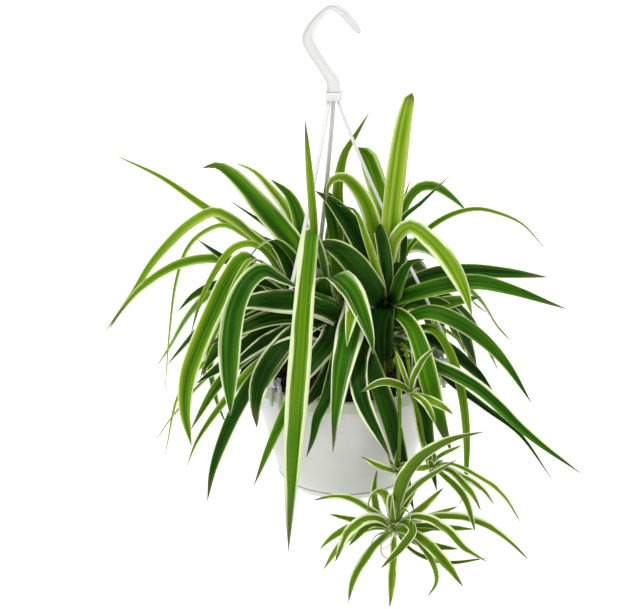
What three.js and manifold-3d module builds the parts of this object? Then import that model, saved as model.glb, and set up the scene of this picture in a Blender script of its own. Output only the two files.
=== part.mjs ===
// A spider plant with white-edged leaves, growing in a white hanging pot.
// Millimetres, +Z up. The origin is the point inside the hook that the whole thing hangs from.
import * as THREE from "three";
import { mergeVertices } from "three/addons/utils/BufferGeometryUtils.js";
import Module from "manifold-3d";

const wasm = await Module();
wasm.setup();

// Pot, saucer and soil
const RIM_DROP = 273; // the pot's rim hangs this far under the hook's bearing point
const POT_OFFSET = 10.5; // the pot's axis stands this far to the right of the bearing point
const RIM_RADIUS = 75;
const LIP_HEIGHT = 9;
const LIP_DEPTH = 1.8;
const WALL = 1.7;
const POT_HEIGHT = 86;
const BASE_RADIUS = 50.5;
const FLOOR_RISE = 5;
const FOOT_WIDTH = 3.5;
const DRAIN_RADIUS = 3;
const DRAIN_CIRCLE = 30;
const DRAINS = 6;
const DRAIN_CUT = 12; // length of the plug that cuts a drain hole through the floor
const SAUCER_HEIGHT = 5.7;
const SAUCER_RADIUS = 51;
const SAUCER_BASE_RADIUS = 47;
const SAUCER_WALL = 1.6;
const SNAP_RING_RISE = 3.4;
const SOIL_DEPTH = 13; // the soil's level under the rim
const SOIL_LUMPS = 1.6;
const GAP = 0.3; // clearance between pieces that seat on each other
const ROUND = 40; // sides of a turned piece

// Ears on the rim, where the hanger's strands hook in
const EAR_ANGLES = { left: 228, back: 108, right: 348 }; // degrees round the pot, from +X
const EAR_WIDTH = 10.5;
const EAR_BAR = 2.5;
const EAR_RISE = 10;
const EAR_DROP = 12;
const EAR_DEPTH = 2.8;
const EAR_SINK = 0.4;

// Hanger: hook, block and strands
const HOOK_DEPTH = 6;
const BLOCK = { width: 12.2, depth: 9.5, height: 5.6, top: -60.8, middle: 1.2 };
const STRAND = { width: 3.4, thickness: 1.8, loop: 3.5, pocket: 3.6, lip: 10.4 };

// Leaves
const BLADE_THICKNESS = 1.3;
const BLADE_FOLD = 0.13; // the edges stand this share of the width above the midrib
const BLADE_STEP = 30; // length of one step along a blade, with a least and a greatest number of them
const BLADE_STEPS = { least: 3, most: 9 };

// The front view that the leaves are measured in. The eye is this far from the middle of the rim
// and this far above level; leaf points are [to the right, up the view, back from the pot's axis].
const VIEW_DISTANCE = 2000;
const VIEW_RISE = THREE.MathUtils.degToRad(24);

const RIM = new THREE.Vector3(POT_OFFSET, 0, -RIM_DROP);
const UP = new THREE.Vector3(0, 0, 1);

const plastic = (color, roughness) => new THREE.MeshStandardMaterial({ color, roughness });
const MATERIALS = {
  pot: plastic("#dfe1dc", 0.4),
  hanger: plastic("#e9eae7", 0.4),
  soil: plastic("#2c2118", 1),
  leaf: plastic("#4f8a24", 0.45),
  runner: plastic("#6f8f3a", 0.55),
};

const plant = new THREE.Group();

// Solids

function solidOf(geometry) {
  const bare = geometry.clone();
  bare.deleteAttribute("normal");
  bare.deleteAttribute("uv");
  const merged = mergeVertices(bare, 1e-4);
  const index = merged.index.array;
  const triVerts = [];
  for (let i = 0; i < index.length; i += 3) {
    const [a, b, c] = index.slice(i, i + 3);
    if (a !== b && b !== c && c !== a) triVerts.push(a, b, c);
  }
  return new wasm.Manifold(
    new wasm.Mesh({
      numProp: 3,
      vertProperties: new Float32Array(merged.attributes.position.array),
      triVerts: new Uint32Array(triVerts),
    }),
  );
}

function addPiece(name, solid, material) {
  const { vertProperties, triVerts } = solid.getMesh();
  const geometry = new THREE.BufferGeometry();
  geometry.setAttribute("position", new THREE.BufferAttribute(vertProperties, 3));
  geometry.setIndex(new THREE.BufferAttribute(triVerts, 1));
  geometry.computeVertexNormals();
  const mesh = new THREE.Mesh(geometry, material.clone());
  mesh.name = name;
  plant.add(mesh);
}

// One solid from many. A space that crossing pieces close in on all sides is filled.
function joined(solids) {
  const sum = solids.reduce((whole, solid) => whole.add(solid));
  const outer = sum.decompose().filter((shell) => shell.volume() > 0);
  return outer.reduce((whole, shell) => whole.add(shell));
}

// A turned solid about the pot's axis; the profile is [radius, height over the rim].
function turned(profile, sides = ROUND) {
  const points = profile.map(([radius, height]) => new THREE.Vector2(radius, height));
  const geometry = new THREE.LatheGeometry(points, sides);
  return geometry.rotateX(Math.PI / 2).translate(RIM.x, RIM.y, RIM.z);
}

// A solid swept along a curve. The section's corners are [sideways, outwards] shares of the
// half width and half thickness that sizeAt gives for each share of the length. A last size of
// zero closes the sweep in a point.
function swept(curve, steps, section, sizeAt, sideways) {
  const rings = [];
  for (let i = 0; i <= steps; i += 1) {
    const share = i / steps;
    const centre = curve.getPoint(share);
    const along = curve.getTangent(share);
    const side = sideways.clone().addScaledVector(along, -sideways.dot(along)).normalize();
    const out = along.clone().cross(side);
    const [halfWidth, halfThickness] = sizeAt(share);
    rings.push(
      halfWidth === 0
        ? [centre]
        : section.map(([s, o]) =>
            centre.clone().addScaledVector(side, s * halfWidth).addScaledVector(out, o * halfThickness),
          ),
    );
  }
  return loft(rings);
}

function loft(rings) {
  const corners = [];
  const triangle = (a, b, c) => corners.push(...a, ...b, ...c);
  const first = rings[0];
  const last = rings[rings.length - 1];
  for (let k = 1; k < first.length - 1; k += 1) triangle(first[0], first[k + 1], first[k]);
  for (let i = 1; i < rings.length; i += 1) {
    const low = rings[i - 1];
    const high = rings[i];
    for (let k = 0; k < low.length; k += 1) {
      const next = (k + 1) % low.length;
      if (high.length === 1) {
        triangle(low[k], low[next], high[0]);
      } else if (k < low.length / 2) {
        triangle(low[k], low[next], high[next]);
        triangle(low[k], high[next], high[k]);
      } else {
        triangle(low[k], low[next], high[k]);
        triangle(low[next], high[next], high[k]);
      }
    }
  }
  for (let k = 1; k < last.length - 1; k += 1) triangle(last[0], last[k], last[k + 1]);
  const geometry = new THREE.BufferGeometry();
  geometry.setAttribute("position", new THREE.Float32BufferAttribute(corners, 3));
  return solidOf(geometry);
}

const RECTANGLE = [[1, -1], [1, 1], [-1, 1], [-1, -1]];
const CHAMFERED = [
  [1, -0.5], [1, 0.5], [0.6, 1], [-0.6, 1], [-1, 0.5], [-1, -0.5], [-0.6, -1], [0.6, -1],
];

// Pot

const wallRadius = (height) =>
  BASE_RADIUS + ((RIM_RADIUS - LIP_DEPTH - BASE_RADIUS) * (height + POT_HEIGHT)) / POT_HEIGHT;

function potBody() {
  const foot = -POT_HEIGHT;
  const floor = foot + FLOOR_RISE;
  const footInside = BASE_RADIUS - FOOT_WIDTH;
  return solidOf(
    turned([
      [0, floor],
      [footInside, floor],
      [footInside, foot + 2.6],
      [footInside + 0.6, foot + 1.8],
      [footInside, foot + 1],
      [footInside, foot],
      [BASE_RADIUS - 0.6, foot],
      [BASE_RADIUS, foot + 0.8],
      [wallRadius(-LIP_HEIGHT), -LIP_HEIGHT],
      [RIM_RADIUS, -LIP_HEIGHT + 0.8],
      [RIM_RADIUS, -0.8],
      [RIM_RADIUS - 0.8, 0],
      [wallRadius(0) - WALL, 0],
      [wallRadius(floor + 2) - WALL, floor + 2],
      [0, floor + 2],
    ]),
  );
}

function earAngle(side) {
  return THREE.MathUtils.degToRad(EAR_ANGLES[side]);
}

function ear(side) {
  const half = EAR_WIDTH / 2;
  const hole = half - EAR_BAR;
  const outline = new THREE.Shape();
  outline.moveTo(half, -EAR_DROP);
  outline.lineTo(half, EAR_RISE - half);
  outline.absarc(0, EAR_RISE - half, half, 0, Math.PI);
  outline.lineTo(-half, -EAR_DROP);
  outline.lineTo(-hole, -EAR_DROP);
  outline.lineTo(-hole, EAR_RISE - half);
  outline.absarc(0, EAR_RISE - half, hole, Math.PI, 0, true);
  outline.lineTo(hole, -EAR_DROP);
  const geometry = new THREE.ExtrudeGeometry(outline, {
    depth: EAR_DEPTH,
    bevelEnabled: false,
    curveSegments: 8,
  });
  // The outline is drawn upright, facing out from the pot.
  geometry.rotateX(Math.PI / 2);
  geometry.rotateZ(Math.PI / 2);
  geometry.translate(RIM_RADIUS - EAR_SINK, 0, 0);
  geometry.rotateZ(earAngle(side));
  return solidOf(geometry.translate(RIM.x, RIM.y, RIM.z));
}

function drain(index) {
  const angle = (2 * Math.PI * index) / DRAINS;
  const geometry = new THREE.CylinderGeometry(DRAIN_RADIUS, DRAIN_RADIUS, DRAIN_CUT, 8);
  geometry.rotateX(Math.PI / 2);
  const reach = [DRAIN_CIRCLE * Math.cos(angle), DRAIN_CIRCLE * Math.sin(angle)];
  return solidOf(geometry.translate(RIM.x + reach[0], RIM.y + reach[1], RIM.z - POT_HEIGHT + FLOOR_RISE));
}

function addPot() {
  let pot = joined([potBody(), ...Object.keys(EAR_ANGLES).map(ear)]);
  for (let i = 0; i < DRAINS; i += 1) pot = pot.subtract(drain(i));
  addPiece("pot", pot, MATERIALS.pot);
}

function addSaucer() {
  const top = -POT_HEIGHT - GAP;
  const bottom = top - SAUCER_HEIGHT;
  const snap = BASE_RADIUS - FOOT_WIDTH - GAP;
  const saucer = turned([
    [0, bottom],
    [SAUCER_BASE_RADIUS - 1, bottom],
    [SAUCER_BASE_RADIUS, bottom + 0.6],
    [SAUCER_RADIUS, top],
    [SAUCER_RADIUS - SAUCER_WALL, top],
    [SAUCER_BASE_RADIUS + 0.4, bottom + SAUCER_WALL],
    [snap, bottom + SAUCER_WALL],
    [snap, top + 1.2],
    [snap + 0.6, top + 2.1],
    [snap, top + 2.8],
    [snap, top + SNAP_RING_RISE],
    [snap - SAUCER_WALL, top + SNAP_RING_RISE],
    [snap - SAUCER_WALL, bottom + SAUCER_WALL],
    [0, bottom + SAUCER_WALL],
  ]);
  addPiece("saucer", solidOf(saucer), MATERIALS.pot);
}

// Soil, with a plain hole for each crown

const lump = (x, y) =>
  SOIL_LUMPS * (0.5 * Math.sin(0.21 * x + 1) * Math.cos(0.17 * y) + 0.5 * Math.sin(0.43 * x - 0.37 * y));

function addSoil() {
  const floor = -POT_HEIGHT + FLOOR_RISE + 2 + GAP;
  const edge = (height) => wallRadius(height) - WALL - 2 * GAP;
  const rings = [1, 0.84, 0.6, 0.34];
  const geometry = turned([
    [0, floor],
    [edge(floor), floor],
    ...rings.map((share) => [share * edge(-SOIL_DEPTH), -SOIL_DEPTH]),
    [0, -SOIL_DEPTH],
  ]);
  const position = geometry.attributes.position;
  for (let i = 0; i < position.count; i += 1) {
    const x = position.getX(i) - RIM.x;
    const y = position.getY(i) - RIM.y;
    const top = position.getZ(i) > RIM.z - SOIL_DEPTH - 1;
    const inside = Math.hypot(x, y) < 0.95 * edge(-SOIL_DEPTH);
    if (top && inside) position.setZ(i, position.getZ(i) + lump(x, y));
  }
  let soil = solidOf(geometry);
  for (const crown of Object.values(CROWNS)) soil = soil.subtract(neck(crown, GAP));
  addPiece("soil", soil, MATERIALS.soil);
}

// Hanger

function addHook() {
  // Middle line in the plane of the hook, with its width, from the open tip to the collar
  const line = [
    [20, -16.4, 4.6], [13, -7.8, 5.6], [7, -1, 5.6], [-0.6, 2.7, 5.4], [-8.7, -3.6, 6.4],
    [-14.6, -11.8, 7.2], [-17.4, -20, 8.4], [-14.4, -29, 7.8], [-8.8, -38, 7.4],
    [-3.4, -46.5, 7.8], [0.2, -52, 9.2], [1.2, -56.6, 10.4], [1.2, -60.5, 10.6],
  ];
  const curve = new THREE.CatmullRomCurve3(line.map(([x, z]) => new THREE.Vector3(x, 0, z)));
  const widths = new THREE.SplineCurve(line.map(([, , width], i) => new THREE.Vector2(i, width)));
  const sizeAt = (share) => [HOOK_DEPTH / 2, widths.getPoint(share).y / 2];
  const hook = swept(curve, 2 * (line.length - 1), CHAMFERED, sizeAt, new THREE.Vector3(0, 1, 0));
  addPiece("hanger_hook", hook, MATERIALS.hanger);
}

// A strand leaves its pocket in the block, bows a little, and loops under the bar of its ear.
function strandPoints(side, [startX, startY]) {
  const angle = earAngle(side);
  const out = new THREE.Vector3(Math.cos(angle), Math.sin(angle), 0);
  const bar = RIM.clone().addScaledVector(out, RIM_RADIUS - EAR_SINK + EAR_DEPTH / 2);
  const turn = EAR_RISE - EAR_BAR + 1;
  const at = (reach, height) => bar.clone().addScaledVector(out, reach).addScaledVector(UP, height);
  const top = new THREE.Vector3(startX, startY, BLOCK.top - BLOCK.height + STRAND.pocket);
  const below = new THREE.Vector3(startX, startY, BLOCK.top - BLOCK.height - 1);
  const end = at(STRAND.loop, turn + 6);
  const middle = below.clone().lerp(end, 0.45);
  middle.addScaledVector(out, -2.5);
  const points = [top, below, middle, end, at(STRAND.loop, turn)];
  for (const step of [1, 2, 3, 4, 5]) {
    const swing = (step * Math.PI) / 6;
    points.push(at(STRAND.loop * Math.cos(swing), turn - STRAND.loop * Math.sin(swing)));
  }
  points.push(at(-STRAND.loop, turn), at(-STRAND.loop, STRAND.lip));
  return points;
}

const STRAND_STARTS = { left: [-2.3, -0.8], back: [1.2, 1.8], right: [4.7, -0.8] };

function strandSolid(side, grow) {
  const points = strandPoints(side, STRAND_STARTS[side]);
  const curve = new THREE.CatmullRomCurve3(points);
  const angle = earAngle(side);
  const across = new THREE.Vector3(-Math.sin(angle), Math.cos(angle), 0);
  const half = [STRAND.width / 2 + grow, STRAND.thickness / 2 + grow];
  if (grow === 0) return swept(curve, 2 * (points.length - 1), RECTANGLE, () => half, across);
  // The pocket that the strand's end sits in
  const mouth = new THREE.LineCurve3(
    points[0].clone().addScaledVector(UP, grow),
    points[0].clone().addScaledVector(UP, -STRAND.pocket - 4),
  );
  return swept(mouth, 1, RECTANGLE, () => half, across);
}

function addBlockAndStrands() {
  const { width, depth, height, top, middle } = BLOCK;
  const outline = new THREE.Shape();
  const corner = 2;
  outline.moveTo(width / 2 - corner, -depth / 2);
  outline.absarc(width / 2 - corner, -depth / 2 + corner, corner, -Math.PI / 2, 0);
  outline.absarc(width / 2 - corner, depth / 2 - corner, corner, 0, Math.PI / 2);
  outline.absarc(-width / 2 + corner, depth / 2 - corner, corner, Math.PI / 2, Math.PI);
  outline.absarc(-width / 2 + corner, -depth / 2 + corner, corner, Math.PI, 1.5 * Math.PI);
  const geometry = new THREE.ExtrudeGeometry(outline, {
    depth: height,
    bevelEnabled: false,
    curveSegments: 4,
  });
  let block = solidOf(geometry.translate(middle, 0, top - height));
  for (const side of Object.keys(EAR_ANGLES)) {
    block = block.subtract(strandSolid(side, GAP));
    addPiece("hanger_strand_" + side, strandSolid(side, 0), MATERIALS.hanger);
  }
  addPiece("hanger_block", block, MATERIALS.hanger);
}

// Crowns, from the pot's axis: where each stands, and how high its leaves part above the rim.
const CROWNS = {
  right: { x: 30, y: 8, top: 46, radius: 7.5 },
  centre: { x: 2, y: -22, top: 34, radius: 7.5 },
  left: { x: -34, y: 2, top: 44, radius: 7.5 },
  back: { x: -2, y: 34, top: 40, radius: 7.5 },
};
const ROOT_DEPTH = 34;
const NECK_SIDES = 12;

// The bundle of leaf bases that stands in the soil
function neck({ x, y, top, radius }, grow = 0) {
  const points = [
    [0, -SOIL_DEPTH - ROOT_DEPTH - grow],
    [radius * 0.8 + grow, -SOIL_DEPTH - ROOT_DEPTH - grow],
    [radius + grow, -SOIL_DEPTH - 6],
    [radius + grow, -SOIL_DEPTH + 8],
    [radius * 0.85 + grow, top * 0.5],
    [radius * 0.75 + grow, top - 6],
    [0, top + 2 + grow],
  ];
  return solidOf(turned(points, NECK_SIDES).translate(x, y, 0));
}

// A point of the front view, brought to its place: the eye's ray is followed to the depth back.
function place([across, up, back]) {
  const eye = new THREE.Vector3(
    0,
    -VIEW_DISTANCE * Math.cos(VIEW_RISE),
    VIEW_DISTANCE * Math.sin(VIEW_RISE),
  );
  const seen = new THREE.Vector3(across, up * Math.sin(VIEW_RISE), up * Math.cos(VIEW_RISE));
  return eye.lerp(seen, (back - eye.y) / (seen.y - eye.y)).add(RIM);
}

// How bluntly a blade narrows to its tip, the share of its length where it is widest, and its base's width
const TAPERS = {
  blunt: [3.6, 0.45, 0.55],
  even: [2.4, 0.45, 0.55],
  drawn: [1.5, 0.45, 0.55],
  wedge: [1.1, 0.45, 0.55],
  square: [14, 0.45, 0.55],
  late: [1.7, 0.64, 0.45],
  stalked: [2, 0.74, 0.2],
};

// A blade is narrow at its base, widest near its middle, and comes to a point.
function bladeWidth(share, taper) {
  const [power, widest, base] = TAPERS[taper];
  const rise = base + (1 - base) * Math.min(1, share / (widest - 0.05));
  return rise * (1 - Math.max(0, (share - widest) / (1 - widest)) ** power);
}

// The directions across a blade: level where it grows by itself, and turned about the blade, so many
// degrees at most, to show its face to the viewer. A pair of limits holds for its base and its tip.
function bladeSides(curve, sideways, turn) {
  const [baseTurn, tipTurn = baseTurn] = [turn].flat();
  const viewWay = new THREE.Vector3(0, Math.cos(VIEW_RISE), -Math.sin(VIEW_RISE));
  const levelSide = (along) =>
    sideways.clone().addScaledVector(along, -sideways.dot(along)).normalize();
  const middle = curve.getTangentAt(0.5);
  const flip = middle.clone().cross(viewWay).dot(levelSide(middle)) < 0 ? -1 : 1;
  return (share) => {
    const along = curve.getTangentAt(share);
    const side = levelSide(along);
    const facing = along.clone().cross(viewWay).multiplyScalar(flip);
    const wanted = Math.atan2(side.clone().cross(facing).dot(along), side.dot(facing));
    const late = THREE.MathUtils.smoothstep(share, 0.25, 0.55);
    const limit = THREE.MathUtils.degToRad(baseTurn + (tipTurn - baseTurn) * late);
    side.applyAxisAngle(along, THREE.MathUtils.clamp(wanted, -limit, limit));
    return { side, face: along.clone().cross(side) };
  };
}

function blade(points, taper, width, turn) {
  const curve = new THREE.CatmullRomCurve3(points);
  const wanted = Math.round(curve.getLength() / BLADE_STEP) + 1;
  const steps = Math.min(BLADE_STEPS.most, Math.max(BLADE_STEPS.least, wanted));
  const run = points[points.length - 1].clone().sub(points[0]).setZ(0);
  const sidesAt = bladeSides(curve, UP.clone().cross(run.normalize()), turn);
  const corners = [[1, 2 * BLADE_FOLD], [0, 1], [-1, 2 * BLADE_FOLD], [0, -1]];
  const rings = [];
  for (let i = 0; i <= steps; i += 1) {
    const share = i / steps;
    const centre = curve.getPointAt(share);
    const { side, face } = sidesAt(share);
    const half = (width / 2) * bladeWidth(share, taper);
    const ridge = BLADE_THICKNESS / 2;
    rings.push(
      i === steps
        ? [centre]
        : corners.map(([s, f]) =>
            centre
              .clone()
              .addScaledVector(side, s * half)
              .addScaledVector(face, f * (s === 0 ? ridge : half)),
          ),
    );
  }
  return loft(rings);
}

// A crown's leaf starts in the neck, rises inside the bundle and then takes its own way.
function crownLeaf({ x, y, top }, route) {
  const first = route[0];
  const height = Math.min(top, Math.max(first.z - RIM.z - 8, 2 - SOIL_DEPTH + 12));
  const foot = new THREE.Vector3(RIM.x + x, RIM.y + y, RIM.z + height - 14);
  const away = first.clone().sub(foot).setZ(0);
  const lean = Math.min(5, away.length() * 0.3);
  away.normalize();
  foot.addScaledVector(away, 3);
  const rise = foot.clone().addScaledVector(away, lean);
  rise.z += Math.min(16, Math.max(7, (first.z - foot.z) * 0.6));
  return [foot, rise, ...route];
}

// Leaves that the front view shows: [taper, width, turn to the viewer in degrees, ...points of the view]
const LEAVES = {
  right: [
    ["blunt", 15, 80, [34, 76, -16], [34, 100, -21], [39, 151, -20], [44, 184, -12], [48, 199, 0],
      [50, 192, 14]],
    ["square", 15, 75, [28, 112, 16], [24, 130, 22], [20, 143, 26], [16, 154, 30], [9, 161, 33]],
    ["even", 13, [70, 125], [28, 66, -16], [20, 105, -20], [11, 126, -24], [-3, 139, -34], [-12, 135, -38],
      [-15, 120, -40]],
    ["even", 6.5, 70, [26, 60, -22], [16, 91, -30], [6, 114, -32], [-5, 117, -34]],
    ["even", 18, 70, [20, 69, 2], [11, 91, 6], [-1, 109, 9], [-12, 121, 11], [-23, 128, 12]],
    ["blunt", 19, 75, [24, 48, -26], [17, 60, -32], [8, 72, -38], [-4, 83, -44], [-16, 88, -46],
      [-26, 86, -48]],
    ["drawn", 5, 60, [40, 104, 10], [57, 120, 18], [79, 141, 30]],
    ["drawn", 4.5, 60, [37, 104, 32], [43, 121, 40], [49, 139, 46]],
    ["stalked", 8, 60, [40, 100, 20], [46, 121, 28], [55, 131, 34], [66, 132, 40], [79, 124, 46],
      [91, 113, 50]],
    ["drawn", 4.5, 50, [46, 83, 12], [62, 100, 16], [80, 111, 18], [98, 115, 20], [114, 112, 22],
      [132, 104, 24], [149, 86, 26]],
    ["stalked", 13.5, [65, 142], [34, 80, -20], [38, 94, -26], [48, 102, -32], [63, 92, -42], [77, 76, -52],
      [88, 56, -58], [95, 35, -60]],
    ["blunt", 11, 75, [30, 75, -26], [26, 96, -30], [24, 101, -24], [22, 92, -14]],
    ["even", 10, 75, [38, 64, -15], [41, 77, -18], [44, 90, -20], [45, 101, -22]],
    ["even", 10, 60, [37, 50, -16], [42, 65, -24], [49, 75, -28], [59, 77, -29]],
    ["drawn", 13, 60, [41, 48, -14], [57, 53, -25], [77, 58, -27], [100, 60, -27], [126, 54, -25],
      [149, 46, -21], [166, 40, -17]],
    ["even", 12, 50, [50, 60, 20], [68, 66, 28], [92, 68, 32], [118, 67, 34], [151, 64, 36]],
    ["even", 12, 50, [48, 44, 10], [66, 43, 14], [84, 46, 18], [102, 49, 20]],
    ["drawn", 13, 50, [42, 30, -16], [63, 37, -30], [84, 30, -35], [103, 17, -38], [121, -2, -40],
      [140, -31, -40]],
    ["drawn", 11, 50, [46, 14, -22], [63, 0, -34], [82, -9, -42], [101, -20, -48], [138, -54, -54],
      [178, -84, -54]],
    ["even", 11, 45, [50, 18, 10], [65, 16, 12], [82, 6, 8], [100, -10, 2], [113, -26, -2]],
    ["even", 7, 45, [48, 24, -16], [66, 24, -30], [78, 8, -33], [87, -22, -34], [91, -56, -34],
      [90, -91, -34], [86, -108, -34]],
    ["drawn", 4, 30, [55, 26, 6], [70, 26, 10], [84, 17, 10], [98, -1, 8]],
    ["drawn", 6, 30, [58, 4, -16], [78, -14, -26], [105, -34, -30], [129, -52, -30], [155, -87, -28]],
    ["late", 15, 50, [40, 36, -18], [50, 26, -42], [57, 9, -60], [63, -14, -71], [70, -40, -79],
      [80, -68, -80]],
    ["late", 14, 50, [50, 24, -26], [55, 6, -48], [57, -30, -74], [63, -68, -80], [69, -97, -79]],
    ["even", 12, 60, [31, 38, -22], [30, 24, -32], [31, 8, -44], [33, -8, -54]],
    ["even", 11, 60, [28, 38, -22], [25, 22, -40], [26, 4, -54], [28, -14, -64]],
    ["even", 15, 60, [25, 44, -4], [19, 38, -4], [13, 26, -4], [10, 8, -4]],
    ["even", 15.5, 60, [22, 56, 4], [14, 59, 8], [4, 54, 12], [-6, 40, 14]],
  ],
  centre: [
    ["late", 17, 20, [-13, 52, -36], [-20, 84, -46], [-26, 97, -60], [-28, 82, -72], [-31, 45, -85],
      [-34, 0, -92], [-38, -55, -95], [-41, -110, -94], [-42, -142, -92]],
    ["even", 20, 0, [-18, 50, -38], [-16, 60, -46], [-6, 63, -54], [4, 54, -60], [10, 42, -66],
      [15, 29, -72], [19, 17, -76], [21, 6, -78]],
    ["even", 13, 0, [6, 46, -54], [5, 36, -68], [3, 25, -78], [1, 11, -86]],
    ["wedge", 21, 30, [7, 38, -38], [4, 24, -62], [0, 7, -80], [-3, -9, -88], [-5, -24, -93],
      [-7, -40, -96], [-9, -68, -97]],
    ["even", 10, 30, [-4, 12, -50], [-8, -6, -70], [-14, -28, -86], [-21, -43, -89], [-24, -57, -90],
      [-29, -72, -90]],
    ["even", 9, 30, [-22, 10, -48], [-34, -14, -66], [-46, -41, -76], [-52, -54, -78], [-58, -68, -79],
      [-68, -93, -80]],
    ["even", 17, 50, [-6, 30, -40], [-12, 15, -52], [-22, 2, -62], [-34, -14, -70], [-44, -26, -74]],
    ["even", 16, 50, [-2, 20, -42], [-6, 2, -58], [-13, -12, -70], [-24, -26, -78], [-34, -36, -80]],
    ["blunt", 19, 70, [-2, 30, -34], [-14, 39, -44], [-30, 44, -54], [-48, 45, -58], [-68, 45, -58],
      [-84, 41, -54]],
    ["even", 14, 50, [-8, 22, -38], [-24, 31, -46], [-40, 34, -50], [-58, 32, -52], [-74, 26, -52],
      [-90, 19, -50], [-102, 12, -46]],
    ["even", 13, 45, [-10, 14, -40], [-28, 22, -48], [-42, 22, -54], [-57, 16, -60], [-72, 6, -62],
      [-88, -8, -60]],
    ["late", 18, 50, [-16, 32, -40], [-36, 22, -54], [-50, 7, -66], [-59, -6, -72], [-65, -20, -76],
      [-67, -35, -78], [-66, -50, -78]],
    ["stalked", 17, [0, 65], [-14, 42, -38], [-32, 52, -54], [-50, 62, -62], [-62, 68, -68], [-73, 60, -76],
      [-82, 42, -83], [-86, 20, -85], [-87, -5, -86], [-86, -41, -85]],
    ["even", 14, 50, [12, 18, -46], [18, 2, -64], [27, -22, -77], [34, -43, -77], [40, -65, -74],
      [46, -90, -70], [52, -112, -66]],
    ["even", 14, 40, [14, 16, -50], [10, 0, -72], [10, -15, -86], [13, -29, -92], [19, -43, -95],
      [26, -56, -96], [34, -72, -96]],
  ],
  left: [
    ["blunt", 6.2, 20, [-27, 72, -20], [-24, 97, -33], [-27, 136, -36], [-31, 182, -34]],
    ["even", 17.5, 70, [-37, 83, 12], [-48, 99, 18], [-61, 114, 24], [-74, 129, 32], [-86, 141, 38],
      [-97, 147, 42], [-108, 145, 46]],
    ["even", 8.5, 60, [-40, 104, 30], [-57, 130, 42], [-70, 143, 48], [-84, 149, 52]],
    ["even", 13, 65, [-33, 96, 22], [-36, 110, 28], [-43, 125, 34], [-57, 137, 38]],
    ["drawn", 7, 50, [-47, 73, 8], [-62, 88, 12], [-77, 97, 16], [-108, 117, 22], [-139, 138, 28],
      [-175, 155, 34]],
    ["even", 9, 60, [-46, 78, 18], [-60, 88, 24], [-75, 99, 28], [-92, 109, 34]],
    ["even", 8, 50, [-50, 76, -2], [-70, 94, -8], [-85, 106, -12], [-99, 112, -16], [-117, 103, -22],
      [-132, 89, -26], [-147, 71, -30], [-160, 50, -34], [-181, 21, -40]],
    ["even", 8, 40, [-55, 64, -12], [-78, 74, -20], [-98, 77, -24], [-124, 73, -30], [-151, 57, -34],
      [-168, 38, -38], [-177, 24, -42]],
    ["drawn", 4, 40, [-58, 78, 12], [-80, 97, 12], [-93, 102, 12], [-109, 95, 12], [-119, 84, 12],
      [-127, 60, 10], [-132, 20, 8], [-135, -21, 6]],
    ["drawn", 5, 50, [-42, 84, 22], [-60, 102, 28], [-73, 111, 32], [-88, 121, 36]],
    ["drawn", 12, 60, [-52, 58, -16], [-72, 64, -24], [-89, 75, -30], [-111, 91, -36]],
    ["even", 6, 40, [-54, 74, -22], [-70, 88, -30], [-84, 85, -34], [-98, 67, -36], [-109, 44, -36],
      [-116, 20, -36]],
    ["even", 9, 20, [-36, 72, -12], [-46, 86, -20], [-55, 91, -26], [-65, 86, -32], [-74, 76, -37]],
    ["blunt", 15, [0, 65], [-46, 60, -14], [-60, 72, -28], [-76, 77, -42], [-88, 60, -50], [-99, 37, -58],
      [-109, 14, -66], [-118, -12, -70], [-120, -38, -71], [-115, -64, -70]],
    ["even", 6, [40, 0], [-48, 56, -20], [-60, 72, -36], [-71, 76, -50], [-80, 64, -58], [-88, 46, -62],
      [-95, 24, -64]],
    ["even", 9, 50, [-56, 48, -2], [-78, 58, -8], [-100, 56, -14], [-114, 49, -16], [-126, 37, -18]],
    ["even", 14, 50, [-50, 36, -8], [-70, 30, -18], [-92, 14, -26], [-107, -8, -30]],
    ["even", 13, 50, [-46, 26, -10], [-66, 18, -26], [-88, 0, -36], [-112, -17, -42]],
    ["even", 9, 40, [-46, 16, -16], [-70, 6, -34], [-94, -16, -44], [-116, -52, -50]],
    ["drawn", 7, 40, [-46, 10, -18], [-68, -4, -42], [-92, -32, -54], [-111, -60, -57], [-119, -81, -58]],
    ["drawn", 4, 30, [-58, 20, 2], [-92, 8, -6], [-122, -20, -12], [-135, -71, -16]],
    ["drawn", 4, 30, [-62, 10, 0], [-98, -8, -4], [-128, -40, -8], [-141, -58, -10]],
    ["even", 8, 45, [-62, 36, 4], [-94, 28, -2], [-101, 8, -8], [-97, -26, -12], [-89, -48, -12]],
    ["even", 11, 40, [-42, 10, -20], [-56, -2, -44], [-71, -18, -60], [-80, -34, -66], [-90, -56, -70],
      [-99, -82, -70], [-103, -105, -70]],
    ["even", 10, 40, [-50, 14, -8], [-68, 4, -22], [-82, -20, -34]],
    ["even", 13, 60, [-36, 52, -4], [-42, 70, -4], [-50, 84, -2], [-62, 94, 2]],
    ["even", 12, 50, [-40, 40, -10], [-52, 52, -20], [-66, 62, -28], [-80, 64, -34]],
  ],
  back: [
    ["even", 9, 60, [-5, 110, 24], [-6, 130, 18], [-1, 156, 18], [6, 168, 20], [17, 187, 26]],
    ["even", 9, 60, [-9, 96, 24], [-13, 116, 20], [-15, 131, 18], [-12, 138, 16]],
    ["even", 10, 60, [3, 92, 26], [0, 108, 24], [-8, 122, 22], [-17, 129, 20]],
  ],
};

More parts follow.
